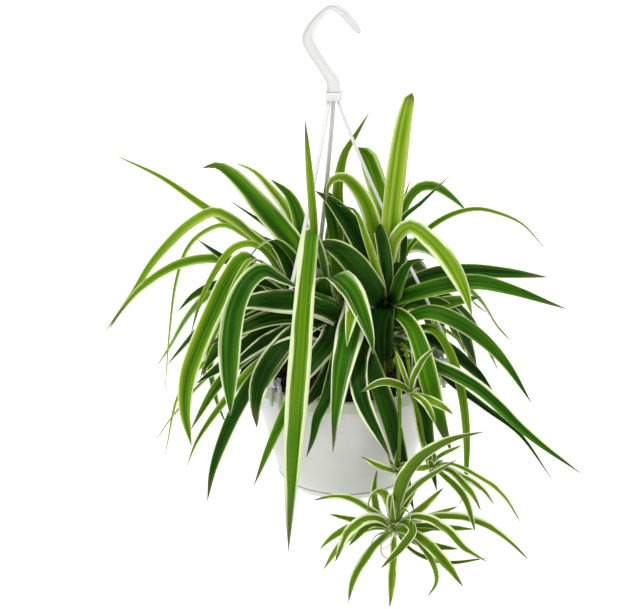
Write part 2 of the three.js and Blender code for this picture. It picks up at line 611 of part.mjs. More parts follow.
// Leaves behind, laid round their crown by rule: they arch up and out, and droop past the rim.
const REAR_LEAVES = {
  back: [
    { count: 9, from: 28, to: 106, reach: [92, 148], lift: [2, 34], fall: [6, 86], width: [11, 16] },
    { count: 4, from: 34, to: 88, reach: [60, 84], lift: [20, 46], fall: [-20, 10], width: [9, 12] },
    { count: 3, from: 150, to: 200, reach: [36, 48], lift: [14, 30], fall: [-30, -16], width: [9, 12] },
  ],
  left: [
    { count: 6, from: 112, to: 174, reach: [84, 126], lift: [-6, 16], fall: [4, 60], width: [11, 15] },
  ],
  right: [
    { count: 5, from: 16, to: 66, reach: [80, 112], lift: [-6, 18], fall: [4, 56], width: [11, 15] },
  ],
};
const REAR_TURN = 25;
const SPREAD = [0.618, 0.382, 0.755, 0.57]; // steps that scatter reach, lift, fall and width evenly

const mix = ([low, high], share) => low + (high - low) * share;
const scatter = (index, step) => (index * step + 0.31) % 1;

function rearLeaf(crown, rule, index) {
  const turn = rule.from + ((rule.to - rule.from) * index) / (rule.count - 1);
  const angle = THREE.MathUtils.degToRad(turn);
  const reach = mix(rule.reach, scatter(index, SPREAD[0]));
  const lift = mix(rule.lift, scatter(index, SPREAD[1]));
  const fall = mix(rule.fall, scatter(index, SPREAD[2]));
  const out = new THREE.Vector3(Math.cos(angle), Math.sin(angle), 0);
  const at = (share, height) =>
    new THREE.Vector3(crown.x, crown.y, height).addScaledVector(out, reach * share).add(RIM);
  const route = [
    at(0.22, crown.top + 0.7 * lift),
    at(0.45, crown.top + lift),
    at(0.72, 0.62 * (crown.top + lift) - 0.2 * fall),
    at(0.9, 0.2 * crown.top - 0.6 * fall),
    at(1, -fall),
  ];
  return { route, width: mix(rule.width, scatter(index, SPREAD[3])) };
}

function addCrowns() {
  for (const [name, crown] of Object.entries(CROWNS)) {
    const parts = [neck(crown)];
    for (const [taper, width, turn, ...points] of LEAVES[name]) {
      parts.push(blade(crownLeaf(crown, points.map(place)), taper, width, turn));
    }
    for (const rule of REAR_LEAVES[name] ?? []) {
      for (let i = 0; i < rule.count; i += 1) {
        const { route, width } = rearLeaf(crown, rule, i);
        parts.push(blade(crownLeaf(crown, route), "even", width, REAR_TURN));
      }
    }
    addPiece("crown_" + name, joined(parts), MATERIALS.leaf);
  }
}

// Runners that hang over the rim, and the young plants on them. Each head has its own middle, the
// radius of its bud, and leaves given as [width, ...points of the view].
const HEADS = {
  front: {
    middle: [37, -125, -80],
    bud: 4.6,
    leaves: [
      [6, [30, -118, -84], [18, -110, -90], [3, -102, -96], [-9, -101, -101], [-24, -104, -106]],
      [5.5, [24, -122, -76], [9, -119, -72], [-12, -114, -68]],
      [6.5, [23, -121, -82], [2, -125, -86], [-10, -132, -88], [-19, -141, -89]],
      [8.5, [24, -117, -90], [13, -119, -98], [2, -129, -104], [-7, -150, -107]],
      [6, [20, -124, -86], [0, -134, -90], [-16, -156, -92]],
      [7, [26, -121, -88], [18, -122, -92], [3, -138, -96]],
      [7, [29, -131, -86], [19, -142, -91], [7, -162, -94], [3, -180, -94]],
      [6.5, [37, -132, -84], [36, -156, -89], [34, -184, -90]],
      [7, [46, -120, -90], [51, -126, -98], [43, -138, -106], [27, -155, -110]],
      [8.5, [53, -129, -88], [72, -146, -98], [89, -168, -103]],
      [5, [54, -134, -84], [66, -150, -89], [69, -164, -91], [62, -176, -92]],
      [6, [53, -134, -80], [70, -138, -82], [86, -140, -83]],
      [7, [50, -116, -88], [63, -117, -95], [78, -126, -102], [90, -139, -107], [108, -150, -110]],
      [6, [50, -119, -78], [72, -115, -80], [90, -116, -81], [109, -123, -82], [125, -135, -82],
        [138, -148, -82]],
      [5, [48, -126, -76], [58, -126, -74], [69, -125, -72]],
      [6, [52, -123, -72], [78, -124, -66], [98, -125, -63]],
      [6, [46, -118, -76], [58, -109, -72], [74, -94, -68]],
      [5, [52, -119, -74], [65, -115, -70], [85, -108, -66]],
      [11, [39, -106, -94], [46, -84, -105], [60, -69, -110], [80, -58, -112], [104, -52, -112]],
      [6.5, [41, -108, -88], [53, -93, -97], [72, -80, -101], [84, -73, -102]],
      [7, [42, -112, -80], [50, -98, -78], [58, -87, -77]],
      [8.5, [35, -112, -86], [36, -101, -92], [37, -106, -99], [38, -118, -102]],
      [7, [34, -108, -84], [27, -97, -88], [20, -100, -94], [17, -112, -97]],
      [6, [26, -115, -78], [22, -99, -75], [24, -81, -72]],
      [5.5, [42, -110, -88], [48, -113, -92], [48, -124, -95]],
      [3.5, [48, -139, -76], [60, -146, -73], [78, -150, -71], [109, -146, -68]],
    ],
  },
  middle: {
    middle: [40, -82, -80],
    bud: 3.2,
    leaves: [
      [5.5, [35, -81, -84], [26, -78, -88], [12, -71, -91]],
      [4, [39, -75, -82], [39, -66, -82]],
      [4, [44, -77, -82], [48, -78, -84], [49, -83, -85]],
      [3.5, [36, -78, -80], [32, -70, -78]],
    ],
  },
  side: {
    middle: [66, -78, -86],
    bud: 3.4,
    leaves: [
      [4, [78, -76, -90], [103, -87, -94], [119, -100, -96], [132, -120, -97]],
      [6, [72, -83, -92], [89, -100, -98], [98, -127, -100]],
      [5.5, [78, -81, -86], [95, -98, -89], [102, -111, -90]],
      [5, [78, -80, -80], [84, -83, -78], [103, -95, -76], [112, -107, -75]],
      [5, [60, -79, -90], [51, -81, -93]],
      [3.5, [70, -71, -84], [88, -62, -82]],
      [4, [67, -71, -84], [63, -64, -82]],
    ],
  },
  tuft: {
    middle: [50, -24, -84],
    bud: 3.2,
    leaves: [
      [5.5, [50, -16, -88], [57, 0, -91], [68, 12, -92]],
      [6, [42, -18, -90], [28, -15, -95], [11, -23, -98]],
      [6.5, [57, -26, -88], [71, -32, -91], [81, -39, -92]],
      [5.5, [54, -26, -90], [61, -32, -94], [68, -47, -95]],
      [4, [46, -14, -84], [41, 0, -82], [37, 10, -80]],
      [4, [51, -15, -84], [53, -4, -82]],
    ],
  },
};

// Curling roots under the largest head: [radius, ...points of the view]
const AIR_ROOTS = [
  [0.9, [36, -126, -81], [34, -130, -82], [28, -136, -82], [28, -144, -82], [33, -147, -84], [36, -142, -86]],
  [0.8, [35, -126, -82], [24, -130, -84], [20, -136, -84], [22, -144, -86]],
  [0.8, [37, -127, -83], [33, -138, -88], [27, -140, -90]],
];

// Each runner starts against the neck of the right crown and carries its heads in turn.
const RUNNER_RADIUS = 1.3;
const HEAD_TURN = 65;
const RUNNERS = {
  front: {
    heads: ["middle", "front"],
    turn: -112,
    height: 14,
    reach: 7.5,
    stem: [[38, 8, -46], [40, -12, -72], [41, -42, -83], [40, -82, -80], [38, -106, -80], [37, -125, -80]],
  },
  side: {
    heads: ["tuft", "side"],
    turn: -52,
    height: 4,
    reach: 8.15,
    stem: [[44, 12, -48], [48, -6, -74], [50, -24, -84], [56, -42, -88], [59, -60, -88], [66, -78, -86]],
  },
};

const tube = (points, radius, steps, sides = 6) => {
  const curve = new THREE.CatmullRomCurve3(points);
  const section = Array.from({ length: sides }, (_, k) => [
    Math.cos((2 * Math.PI * k) / sides),
    Math.sin((2 * Math.PI * k) / sides),
  ]);
  return swept(curve, steps, section, () => [radius, radius], new THREE.Vector3(0.9, 0.1, 0.4));
};

function headParts({ middle, bud, leaves }) {
  const centre = place(middle);
  const ball = new THREE.IcosahedronGeometry(bud, 1).translate(centre.x, centre.y, centre.z);
  const parts = [solidOf(ball)];
  for (const [width, ...points] of leaves) {
    parts.push(blade([centre, ...points.map(place)], "even", width, HEAD_TURN));
  }
  return parts;
}

function runnerStem({ stem, turn, height, reach }) {
  const { x, y } = CROWNS.right;
  const out = new THREE.Vector3(reach, 0, 0).applyAxisAngle(UP, THREE.MathUtils.degToRad(turn));
  const start = new THREE.Vector3(x, y, height).add(RIM).add(out);
  return tube([start, ...stem.map(place)], RUNNER_RADIUS, 22);
}

function addRunners() {
  const roots = AIR_ROOTS.map(([radius, ...points]) => tube(points.map(place), radius, 8, 5));
  for (const [name, runner] of Object.entries(RUNNERS)) {
    const parts = [runnerStem(runner)];
    for (const head of runner.heads) parts.push(...headParts(HEADS[head]));
    if (name === "front") parts.push(...roots);
    addPiece("runner_" + name, joined(parts), MATERIALS.runner);
  }
}

addPot();
addSaucer();
addSoil();
addHook();
addBlockAndStrands();
addCrowns();
addRunners();

export default plant;
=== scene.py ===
"""A spider plant with white-edged leaves in a white hanging pot, dressed over its solid model."""

import math
import random
from functools import partial, reduce

import bmesh
import bpy
from mathutils import Matrix, Vector, noise


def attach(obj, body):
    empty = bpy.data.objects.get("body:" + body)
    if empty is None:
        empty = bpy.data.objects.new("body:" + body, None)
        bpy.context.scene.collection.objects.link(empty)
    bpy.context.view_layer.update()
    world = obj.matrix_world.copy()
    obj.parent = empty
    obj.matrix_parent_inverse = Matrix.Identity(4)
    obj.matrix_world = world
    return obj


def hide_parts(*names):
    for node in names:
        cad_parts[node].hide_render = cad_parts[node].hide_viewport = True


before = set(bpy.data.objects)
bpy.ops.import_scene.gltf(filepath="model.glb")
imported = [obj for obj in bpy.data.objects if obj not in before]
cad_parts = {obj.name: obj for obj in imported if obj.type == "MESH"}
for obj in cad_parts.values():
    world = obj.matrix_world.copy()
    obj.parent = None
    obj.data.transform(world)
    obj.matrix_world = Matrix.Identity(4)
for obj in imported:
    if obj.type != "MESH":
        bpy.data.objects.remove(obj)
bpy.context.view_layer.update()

# Every length below is in millimetres. A finished mesh is brought to metres once, in finish_piece.
MM = 0.001

# Pot, saucer and soil, as in the solid model
RIM = Vector((10.5, 0, -273))
RIM_RADIUS = 75
LIP_HEIGHT = 9
LIP_DEPTH = 1.8
WALL = 1.7
POT_HEIGHT = 86
BASE_RADIUS = 50.5
FLOOR_RISE = 5
FLOOR_THICKNESS = 2
FOOT_WIDTH = 3.5
SAUCER_HEIGHT = 5.7
SAUCER_RADIUS = 51
SAUCER_BASE_RADIUS = 47
SAUCER_WALL = 1.6
SNAP_RING_RISE = 3.4
SOIL_DEPTH = 13
SOIL_LUMPS = 1.6
SOIL_CRUMBS = 0.9
GAP = 0.3
ROUND = 144

# Ears and hanger
EAR_ANGLES = {"left": 228, "back": 108, "right": 348}
EAR_WIDTH = 10.5
EAR_BAR = 2.5
EAR_RISE = 10
EAR_DROP = 12
EAR_DEPTH = 2.8
EAR_SINK = 0.4
HOOK_DEPTH = 6
HOOK_FLANGE = 1.15
HOOK_WEB_SINK = 1.1
BLOCK = {"width": 12.2, "depth": 9.5, "height": 5.6, "top": -60.8, "middle": 1.2}
STRAND = {"width": 3.4, "thickness": 1.8, "loop": 3.5, "pocket": 3.6, "lip": 10.4}
STRAND_STARTS = {"left": (-2.3, -0.8), "back": (1.2, 1.8), "right": (4.7, -0.8)}

# The front view that the leaves are measured in: the eye's distance from the rim and its rise.
# Leaf points are (to the right, up the view, back from the pot's axis).
VIEW_DISTANCE = 2000
VIEW_RISE = math.radians(24)
VIEW_WAY = Vector((0, math.cos(VIEW_RISE), -math.sin(VIEW_RISE)))
VIEW_WIDTH = 479.25
VIEW_CENTRE = (-19.5, 42.75)

UP = Vector((0, 0, 1))
SMALL = 1e-4


# Meshes

def finish_piece(name, bm, material, nodes, sharp=None, thickness=0, closed=False):
    """Makes the piece from its mesh, gives it its finish, hangs it on the root body and hides the nodes
    it stands for.
    A closed piece has its faces turned outwards, and a thin one gets its thickness."""
    if closed:
        bmesh.ops.recalc_face_normals(bm, faces=bm.faces)
    mesh = bpy.data.meshes.new(name)
    bm.to_mesh(mesh)
    bm.free()
    mesh.transform(Matrix.Scale(MM, 4))
    mesh.shade_smooth()
    if sharp is not None:
        mesh.set_sharp_from_angle(angle=math.radians(sharp))
    mesh.materials.append(material)
    made = bpy.data.objects.new(name, mesh)
    bpy.context.scene.collection.objects.link(made)
    if thickness:
        skin = made.modifiers.new("thickness", "SOLIDIFY")
        skin.thickness = thickness * MM
        skin.offset = 0
    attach(made, "root")
    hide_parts(*nodes)


def rounded(corners, steps=5):
    """An outline's points. A corner (radius, height, cut) is rounded from the cut on either side."""
    outline = []
    for i, (r, z, cut) in enumerate(corners):
        here = Vector((r, z))
        if not cut:
            outline.append(here)
            continue
        before = Vector(corners[i - 1][:2])
        after = Vector(corners[(i + 1) % len(corners)][:2])
        start = here + (before - here).normalized() * cut
        end = here + (after - here).normalized() * cut
        for step in range(steps + 1):
            t = step / steps
            outline.append(start.lerp(here, t).lerp(here.lerp(end, t), t))
    return outline


def add_turned(bm, outline, centre=RIM, steps=ROUND):
    """Turns an outline of (radius, height) about an upright axis through the centre."""
    verts = [bm.verts.new((r, 0, z)) for r, z in outline]
    edges = [bm.edges.new(pair) for pair in zip(verts, verts[1:])]
    bmesh.ops.spin(bm, geom=verts + edges, axis=UP, cent=(0, 0, 0), angle=math.tau, steps=steps,
                   use_merge=True)
    bmesh.ops.remove_doubles(bm, verts=bm.verts, dist=SMALL)
    bmesh.ops.translate(bm, verts=bm.verts, vec=centre)


def add_grid(bm, columns, rows, bend):
    """A flat grid whose points go where bend(across, along, vert) says, both shares from 0 to 1."""
    made = bmesh.ops.create_grid(bm, x_segments=columns, y_segments=rows, size=0.5, calc_uvs=True)
    for vert in made["verts"]:
        vert.co = bend(vert.co.x + 0.5, vert.co.y + 0.5, vert)
    return made["verts"]


def add_swept(bm, route, section):
    """A closed bar. section(share) gives its corners (sideways, outwards) along the route."""
    places, sides, outs = route
    rows = len(places) - 1
    columns = len(section(0))

    def bend(across, along, vert):
        row = round(along * rows)
        s, o = section(row / rows)[round(across * columns) % columns]
        return places[row] + sides[row] * s + outs[row] * o

    verts = add_grid(bm, columns, rows, bend)
    bmesh.ops.remove_doubles(bm, verts=verts, dist=SMALL)
    rims = {edge for vert in verts if vert.is_valid for edge in vert.link_edges if edge.is_boundary}
    bmesh.ops.holes_fill(bm, edges=list(rims), sides=0)


# Curves

CURVE_PARTS = 160


def spline(points, count, even=True):
    """Places along a smooth curve through the points, and the direction at each."""
    last = len(points) - 1
    before = points[0] * 2 - points[1]
    after = points[last] * 2 - points[last - 1]
    line = [before, *points, after]

    def at(share):
        reach = min(max(share, 0), 1) * last
        index = min(int(reach), last - 1)
        t = reach - index
        a, b, c, d = line[index:index + 4]
        ab, bc, cd = ((q - p).length ** 0.5 for p, q in ((a, b), (b, c), (c, d)))
        start = ((b - a) / ab - (c - a) / (ab + bc) + (c - b) / bc) * bc
        end = ((c - b) / bc - (d - b) / (bc + cd) + (d - c) / cd) * bc
        return (b + start * t + ((c - b) * 3 - start * 2 - end) * t ** 2
                + ((b - c) * 2 + start + end) * t ** 3)

    shares = [i / count for i in range(count + 1)]
    if even:
        fine = [at(i / CURVE_PARTS) for i in range(CURVE_PARTS + 1)]
        lengths = [0]
        for p, q in zip(fine, fine[1:]):
            lengths.append(lengths[-1] + (q - p).length)
        shares = [share_at(lengths, s * lengths[-1]) for s in shares]
    places = [at(s) for s in shares]
    along = [(at(s + SMALL) - at(s - SMALL)).normalized() for s in shares]
    return places, along


def share_at(lengths, wanted):
    """The share of a curve at which its length reaches the wanted one."""
    low, high = 0, len(lengths) - 1
    while high - low > 1:
        middle = (low + high) // 2
        if lengths[middle] < wanted:
            low = middle
        else:
            high = middle
    part = (wanted - lengths[low]) / max(lengths[high] - lengths[low], 1e-9)
    return (low + part) / (len(lengths) - 1)


def square_to(along, sideways):
    """At each way along, the direction square to it that is nearest to sideways."""
    return [(sideways - way * sideways.dot(way)).normalized() for way in along]


def route_of(points, count, sideways, even=True):
    """A swept bar's places, with the directions sideways and outwards from it."""
    places, along = spline(points, count, even)
    sides = square_to(along, sideways)
    outs = [way.cross(side) for way, side in zip(along, sides)]
    return places, sides, outs


def view_place(point):
    """A point of the front view, brought to its place by following the eye's ray to its depth."""
    across, up, back = point
    eye = Vector((0, -VIEW_DISTANCE * math.cos(VIEW_RISE), VIEW_DISTANCE * math.sin(VIEW_RISE)))
    seen = Vector((across, up * math.sin(VIEW_RISE), up * math.cos(VIEW_RISE)))
    return eye.lerp(seen, (back - eye.y) / (seen.y - eye.y)) + RIM


# Materials

class Finish:
    """A material and the nodes it is drawn with. A value is a number or another node's output."""

    def __init__(self, name):
        self.material = bpy.data.materials.new(name)
        self.material.use_nodes = True
        self.tree = self.material.node_tree
        self.shader = self.tree.nodes["Principled BSDF"]

    def put(self, socket, value):
        """Links the socket to a node's output, or sets its own value."""
        if isinstance(value, bpy.types.NodeSocket):
            self.tree.links.new(value, socket)
        else:
            socket.default_value = value

    def give(self, sockets):
        """Sets the shader's sockets by their names."""
        for name, value in sockets.items():
            self.put(self.shader.inputs[name], value)

    def node(self, kind, inputs=None, **settings):
        """Adds a node, with its inputs by their names or numbers."""
        made = self.tree.nodes.new("ShaderNode" + kind)
        for name, value in settings.items():
            setattr(made, name, value)
        for socket, value in (inputs or {}).items():
            self.put(made.inputs[socket], value)
        return made

    def calc(self, operation, first, second=0.0):
        return self.node("Math", {0: first, 1: second}, operation=operation).outputs[0]

    def times(self, *values):
        return reduce(partial(self.calc, "MULTIPLY"), values)

    def total(self, *values):
        return reduce(partial(self.calc, "ADD"), values)

    def fade(self, value, low, high, to_low=0.0, to_high=1.0, smooth=True):
        """Maps the value from one range to another, and keeps it inside."""
        return self.node("MapRange", {"Value": value, "From Min": low, "From Max": high,
                                      "To Min": to_low, "To Max": to_high},
                         interpolation_type="SMOOTHSTEP" if smooth else "LINEAR").outputs[0]

    def blend(self, share, first, second, kind="MIX"):
        """Two colours, mixed by the share."""
        first, second = ((*c, 1) if isinstance(c, tuple) else c for c in (first, second))
        return self.node("Mix", {0: share, 6: first, 7: second}, data_type="RGBA",
                         blend_type=kind).outputs[2]

    def ramp(self, value, stops):
        """The value's colour between stops of (value, colour)."""
        made = self.node("ValToRGB", {"Fac": value})
        elements = made.color_ramp.elements
        while len(elements) < len(stops):
            elements.new(0.5)
        for element, (place, colour) in zip(elements, stops):
            element.position = place
            element.color = (*colour, 1)
        return made.outputs[0]

    def place(self):
        """Where a point is, in metres."""
        return self.node("TexCoord").outputs["Object"]

    def grain(self, place, scale, detail=2.0, roughness=0.5):
        """A noise pattern's value over the given place."""
        return self.node("TexNoise", {"Vector": place, "Scale": scale, "Detail": detail,
                                      "Roughness": roughness}).outputs["Fac"]

    def bump(self, height, strength, distance):
        made = self.node("Bump", {"Height": height, "Strength": strength, "Distance": distance * MM})
        self.give({"Normal": made.outputs[0]})


# Leaf colours from the darkest to the palest, for the green part and for the margins
LEAF_GREENS = (
    (0.0, (0.002, 0.020, 0.0010)), (0.15, (0.011, 0.064, 0.0016)), (0.30, (0.037, 0.135, 0.0016)),
    (0.45, (0.102, 0.215, 0.0030)), (0.60, (0.220, 0.335, 0.022)), (0.80, (0.38, 0.46, 0.10)),
    (1.0, (0.62, 0.66, 0.28)))
LEAF_CREAMS = ((0.0, (0.34, 0.44, 0.09)), (0.5, (0.52, 0.60, 0.26)), (1.0, (0.67, 0.71, 0.50)))
# The lighter green beside a margin, on the darkest and on the palest leaf
BESIDE_MARGIN = ((0.030, 0.110, 0.001), (0.50, 0.60, 0.12))
OLIVE = (0.27, 0.29, 0.02)
BASE_GREEN = (0.20, 0.33, 0.035)
DRY_TIP = (0.10, 0.085, 0.04)
# These darken what they are mixed with: brown streaks, painted shade in the fold along the middle,
# painted shade on the lower blade
STREAK_SHADE = (0.80, 0.60, 0.60)
PAINTED_FOLD_SHADE = (0.55, 0.62, 0.50)
PAINTED_LOWER_SHADE = (0.48, 0.58, 0.40)
VEINS = 15
MARGIN_SOFTNESS = 0.035


def leaf_material(name, olive):
    """Green, partly turned to olive, with cream margins, and painted shade along the fold and on the
    lower blade.

    The blade's own map runs across it and along it. Its attributes say how light its green is, how
    wide and pale its margins are, how they differ from side to side, and how dry its tip is."""
    finish = Finish(name)
    times, total, fade, blend = finish.times, finish.total, finish.fade, finish.blend
    chart = finish.node("UVMap", uv_map="UVMap")
    parts = finish.node("SeparateXYZ", {0: chart.outputs[0]})
    u, v = parts.outputs[0], parts.outputs[1]
    tone, margin, cream, skew, dry, seed = (
        finish.node("Attribute", attribute_name=word).outputs["Fac"]
        for word in ("tone", "margin", "cream", "skew", "dry", "seed"))
    side = total(times(u, 2.0), -1.0)
    across = finish.calc("ABSOLUTE", side)

    def streaks(scale_across, scale_along, start=0.0, low=0.36, high=0.64):
        """Streaks along the blade, from 0 to 1."""
        sheet = finish.node("CombineXYZ", {0: times(u, scale_across), 1: times(v, scale_along),
                                           2: total(times(seed, 37.0), start)})
        return fade(finish.grain(sheet.outputs[0], 1.0), low, high, smooth=False)

    def swing(value, amount):
        return times(total(value, -0.5), amount)

    broad = streaks(4.8, 0.8)
    narrow = streaks(15.0, 1.2, 5.0)
    fine = streaks(44.0, 2.4, 9.0)
    patches = streaks(1.3, 3.2, 13.0)
    wander = streaks(1.7, 4.5, 17.0)
    veins = finish.calc("SINE", times(u, math.tau * VEINS))

    # Green part: lighter towards its sides, with lighter and darker streaks between the veins
    sides = times(total(across, -0.4), times(tone, 0.35))
    value = total(tone, sides, swing(broad, 0.17), swing(fine, 0.05), swing(patches, 0.11),
                  swing(narrow, total(times(tone, 0.20), 0.02)))
    green = blend(olive, finish.ramp(value, LEAF_GREENS), OLIVE)
    brown = times(streaks(8.0, 1.1, 21.0, 0.56, 0.72), finish.calc("MINIMUM", times(tone, 1.5), 0.55))
    green = blend(brown, green, STREAK_SHADE, "MULTIPLY")
    # Painted shade along the fold in the middle of the blade, in patches
    fold = times(fade(across, 0.0, 0.09, to_low=0.35, to_high=0.0), streaks(0.4, 3.0, 25.0))
    green = blend(fold, green, PAINTED_FOLD_SHADE, "MULTIPLY")

    # Margins: their inner edge follows the veins, so it is drawn in streaks, with a lighter green
    # beside it and a few cream streaks inside
    width = times(margin, total(1.0, times(skew, side), swing(wander, 1.0)))
    edge = total(finish.calc("SUBTRACT", 1.0, width), swing(broad, 0.09), swing(narrow, 0.08))
    band = fade(across, total(edge, -MARGIN_SOFTNESS), total(edge, MARGIN_SOFTNESS))
    beside = times(fade(across, total(edge, -0.24), edge), 0.5)
    green = blend(beside, green, blend(total(tone, 0.12), *BESIDE_MARGIN))
    pale = finish.ramp(total(cream, swing(fine, 0.16), swing(narrow, 0.14)), LEAF_CREAMS)
    inside = times(streaks(7.0, 0.7, 29.0, 0.60, 0.68), fade(across, 0.30, 0.80, to_high=0.75))
    strips = finish.calc("MAXIMUM", band, times(inside, times(margin, 3.5)))
    colour = blend(finish.calc("MINIMUM", strips, 1.0), green, pale)

    # Painted shade darkens the lower blade towards the base, and the green pales where the blade leaves
    # its sheath. A dry tip is straw brown.
    colour = blend(fade(v, 0.08, 0.38, to_low=0.60, to_high=0.0), colour, PAINTED_LOWER_SHADE, "MULTIPLY")
    colour = blend(fade(v, 0.04, 0.20, to_low=0.50, to_high=0.0), colour, BASE_GREEN)
    end = total(v, times(broad, 0.01))
    colour = blend(times(fade(end, 0.85, 0.99), dry), colour, DRY_TIP)
    finish.give({"Base Color": colour,
                 "Roughness": fade(narrow, 0.0, 1.0, to_low=0.34, to_high=0.50, smooth=False),
                 "Subsurface Weight": 0.12, "Subsurface Radius": (0.8, 1.0, 0.2),
                 "Subsurface Scale": 1.2 * MM, "Specular IOR Level": 0.11,
                 "Specular Tint": (0.80, 1.0, 0.45, 1)})
    finish.bump(total(times(veins, 0.35), fine, times(narrow, 0.6)), strength=0.45, distance=0.25)
    return finish.material


# The thin lip of the pot: the band where green light from the leaves is painted, and the painted colour
PAINTED_LIGHT_BAND = (RIM.z - LIP_HEIGHT - 1, RIM.z + 2)
PAINTED_LIP_LIGHT = (0.40, 0.47, 0.27)


def plastic_material(name, colour, stain, roughness, clouding, lip=None):
    """Moulded plastic: faint clouds in its colour and gloss, and a soft orange peel in its relief.
    Given a lip band, it paints green light from the leaves on it.
    """
    finish = Finish(name)
    place = finish.place()
    clouds = finish.grain(place, 26.0, 4.0)
    specks = finish.grain(place, 900.0, 2.0)
    tint = finish.blend(finish.times(finish.fade(clouds, 0.42, 0.72), clouding), colour, stain)
    # Painted light: a band round the lip is tinted with the green light of the leaves, shining through
    # the thin plastic and reflected on it
    if lip:
        low, high = (height * MM for height in lip)
        height = finish.node("SeparateXYZ", {0: place}).outputs[2]
        uneven = finish.total(height, finish.times(clouds, 4 * MM))
        band = finish.times(finish.fade(uneven, low, low + 3 * MM),
                            finish.fade(uneven, high, high + 3 * MM, to_low=1.0, to_high=0.0))
        tint = finish.blend(finish.times(band, 0.6), tint, PAINTED_LIP_LIGHT)
    finish.give({"Base Color": tint,
                 "Roughness": finish.fade(clouds, 0.3, 0.7, to_low=roughness - 0.06,
                                          to_high=roughness + 0.10),
                 "Subsurface Weight": 0.25, "Subsurface Radius": (1.0, 1.0, 0.9),
                 "Subsurface Scale": 2.0 * MM})
    finish.bump(finish.total(clouds, finish.times(specks, 0.12)), strength=0.25, distance=0.4)
    return finish.material


def soil_material(name):
    finish = Finish(name)
    place = finish.place()
    crumbs = finish.grain(place, 420.0, 5.0, 0.65)
    damp = finish.fade(finish.grain(place, 60.0, 3.0), 0.35, 0.65, to_high=0.6)
    colour = finish.ramp(crumbs, ((0.30, (0.006, 0.004, 0.003)), (0.52, (0.021, 0.014, 0.009)),
                                  (0.72, (0.060, 0.042, 0.026))))
    finish.give({"Base Color": finish.blend(damp, colour, (0.010, 0.007, 0.005)), "Roughness": 0.95})
    finish.bump(crumbs, strength=0.9, distance=1.2)
    return finish.material


def mottled_material(name, scale, colours, roughness, strength, distance):
    """A colour that wanders between two, with the same pattern in its relief."""
    finish = Finish(name)
    mottle = finish.grain(finish.place(), scale, 4.0)
    finish.give({"Base Color": finish.ramp(mottle, tuple(zip((0.3, 0.7), colours))),
                 "Roughness": roughness})
    finish.bump(mottle, strength, distance)
    return finish.material


LEAF = leaf_material("leaf", olive=0.0)
YOUNG_LEAF = leaf_material("young_leaf", olive=0.15)
POT_PLASTIC = plastic_material("pot_plastic", colour=(0.58, 0.58, 0.555), stain=(0.47, 0.49, 0.42),
                               roughness=0.36, clouding=0.35, lip=PAINTED_LIGHT_BAND)
HANGER_PLASTIC = plastic_material("hanger_plastic", colour=(0.63, 0.635, 0.625),
                                  stain=(0.56, 0.57, 0.55), roughness=0.34, clouding=0.4)
SOIL = soil_material("potting_soil")
PERLITE = mottled_material("perlite", 1400.0, ((0.45, 0.42, 0.36), (0.80, 0.78, 0.72)),
                           roughness=0.9, strength=0.7, distance=0.5)
ROOT = mottled_material("air_root", 240.0, ((0.38, 0.36, 0.20), (0.66, 0.64, 0.44)),
                        roughness=0.6, strength=0.5, distance=0.3)


# Pot and saucer

def wall_radius(height):
    return BASE_RADIUS + (RIM_RADIUS - LIP_DEPTH - BASE_RADIUS) * (height + POT_HEIGHT) / POT_HEIGHT


def add_ear(bm, side):
    """An upright bar bent over on itself, which stands on the outside of the rim."""
    reach = (EAR_WIDTH - EAR_BAR) / 2
    turn = EAR_RISE - EAR_WIDTH / 2
    points = [(-reach, -EAR_DROP), (-reach, -EAR_DROP / 2), (-reach, 0)]
    for step in range(9):
        swing = math.pi * (1 - step / 8)
        points.append((reach * math.cos(swing), turn + reach * math.sin(swing)))
    points += [(reach, 0), (reach, -EAR_DROP / 2), (reach, -EAR_DROP)]
    out = RIM_RADIUS - EAR_SINK + EAR_DEPTH / 2
    turned = Matrix.Rotation(math.radians(EAR_ANGLES[side]), 3, "Z")
    line = [RIM + turned @ Vector((out, y, z)) for y, z in points]
    half, thick, corner = EAR_BAR / 2, EAR_DEPTH / 2, 0.5
    section = [(-thick, -half + corner), (-thick + corner, -half), (thick - corner, -half),
               (thick, -half + corner), (thick, half - corner), (thick - corner, half),
               (-thick + corner, half), (-thick, half - corner)]
    route = route_of(line, 56, turned @ Vector((1, 0, 0)), even=False)
    add_swept(bm, route, lambda share: section)


def make_pot():
    foot = -POT_HEIGHT
    floor = foot + FLOOR_RISE
    inner = floor + FLOOR_THICKNESS
    inside = BASE_RADIUS - FOOT_WIDTH
    outline = [Vector((0, floor))] + rounded([
        (inside, floor, 0.8), (inside, foot, 0.5), (BASE_RADIUS, foot, 0.9),
        (wall_radius(-LIP_HEIGHT), -LIP_HEIGHT, 0.5), (RIM_RADIUS, -LIP_HEIGHT, 0.7),
        (RIM_RADIUS, 0, 0.8), (wall_radius(0) - WALL, 0, 0.8), (wall_radius(inner) - WALL, inner, 3),
        (0, inner, 0)])
    bm = bmesh.new()
    add_turned(bm, outline)
    for side in EAR_ANGLES:
        add_ear(bm, side)
    finish_piece("pot_shell", bm, POT_PLASTIC, ["pot"], sharp=38, closed=True)


def make_saucer():
    top = -POT_HEIGHT - GAP
    bottom = top - SAUCER_HEIGHT
    snap = BASE_RADIUS - FOOT_WIDTH - GAP
    floor = bottom + SAUCER_WALL
    outline = [Vector((0, bottom))] + rounded([
        (SAUCER_BASE_RADIUS, bottom, 0.8), (SAUCER_RADIUS, top, 0.5),
        (SAUCER_RADIUS - SAUCER_WALL, top, 0.5), (SAUCER_BASE_RADIUS + 0.4, floor, 0.8),
        (snap, floor, 0.4), (snap, top + SNAP_RING_RISE, 0.5),
        (snap - SAUCER_WALL, top + SNAP_RING_RISE, 0.5), (snap - SAUCER_WALL, floor, 0.4)])
    bm = bmesh.new()
    add_turned(bm, outline + [Vector((0, floor))])
    finish_piece("saucer_shell", bm, POT_PLASTIC, ["saucer"], sharp=38, closed=True)


# Soil

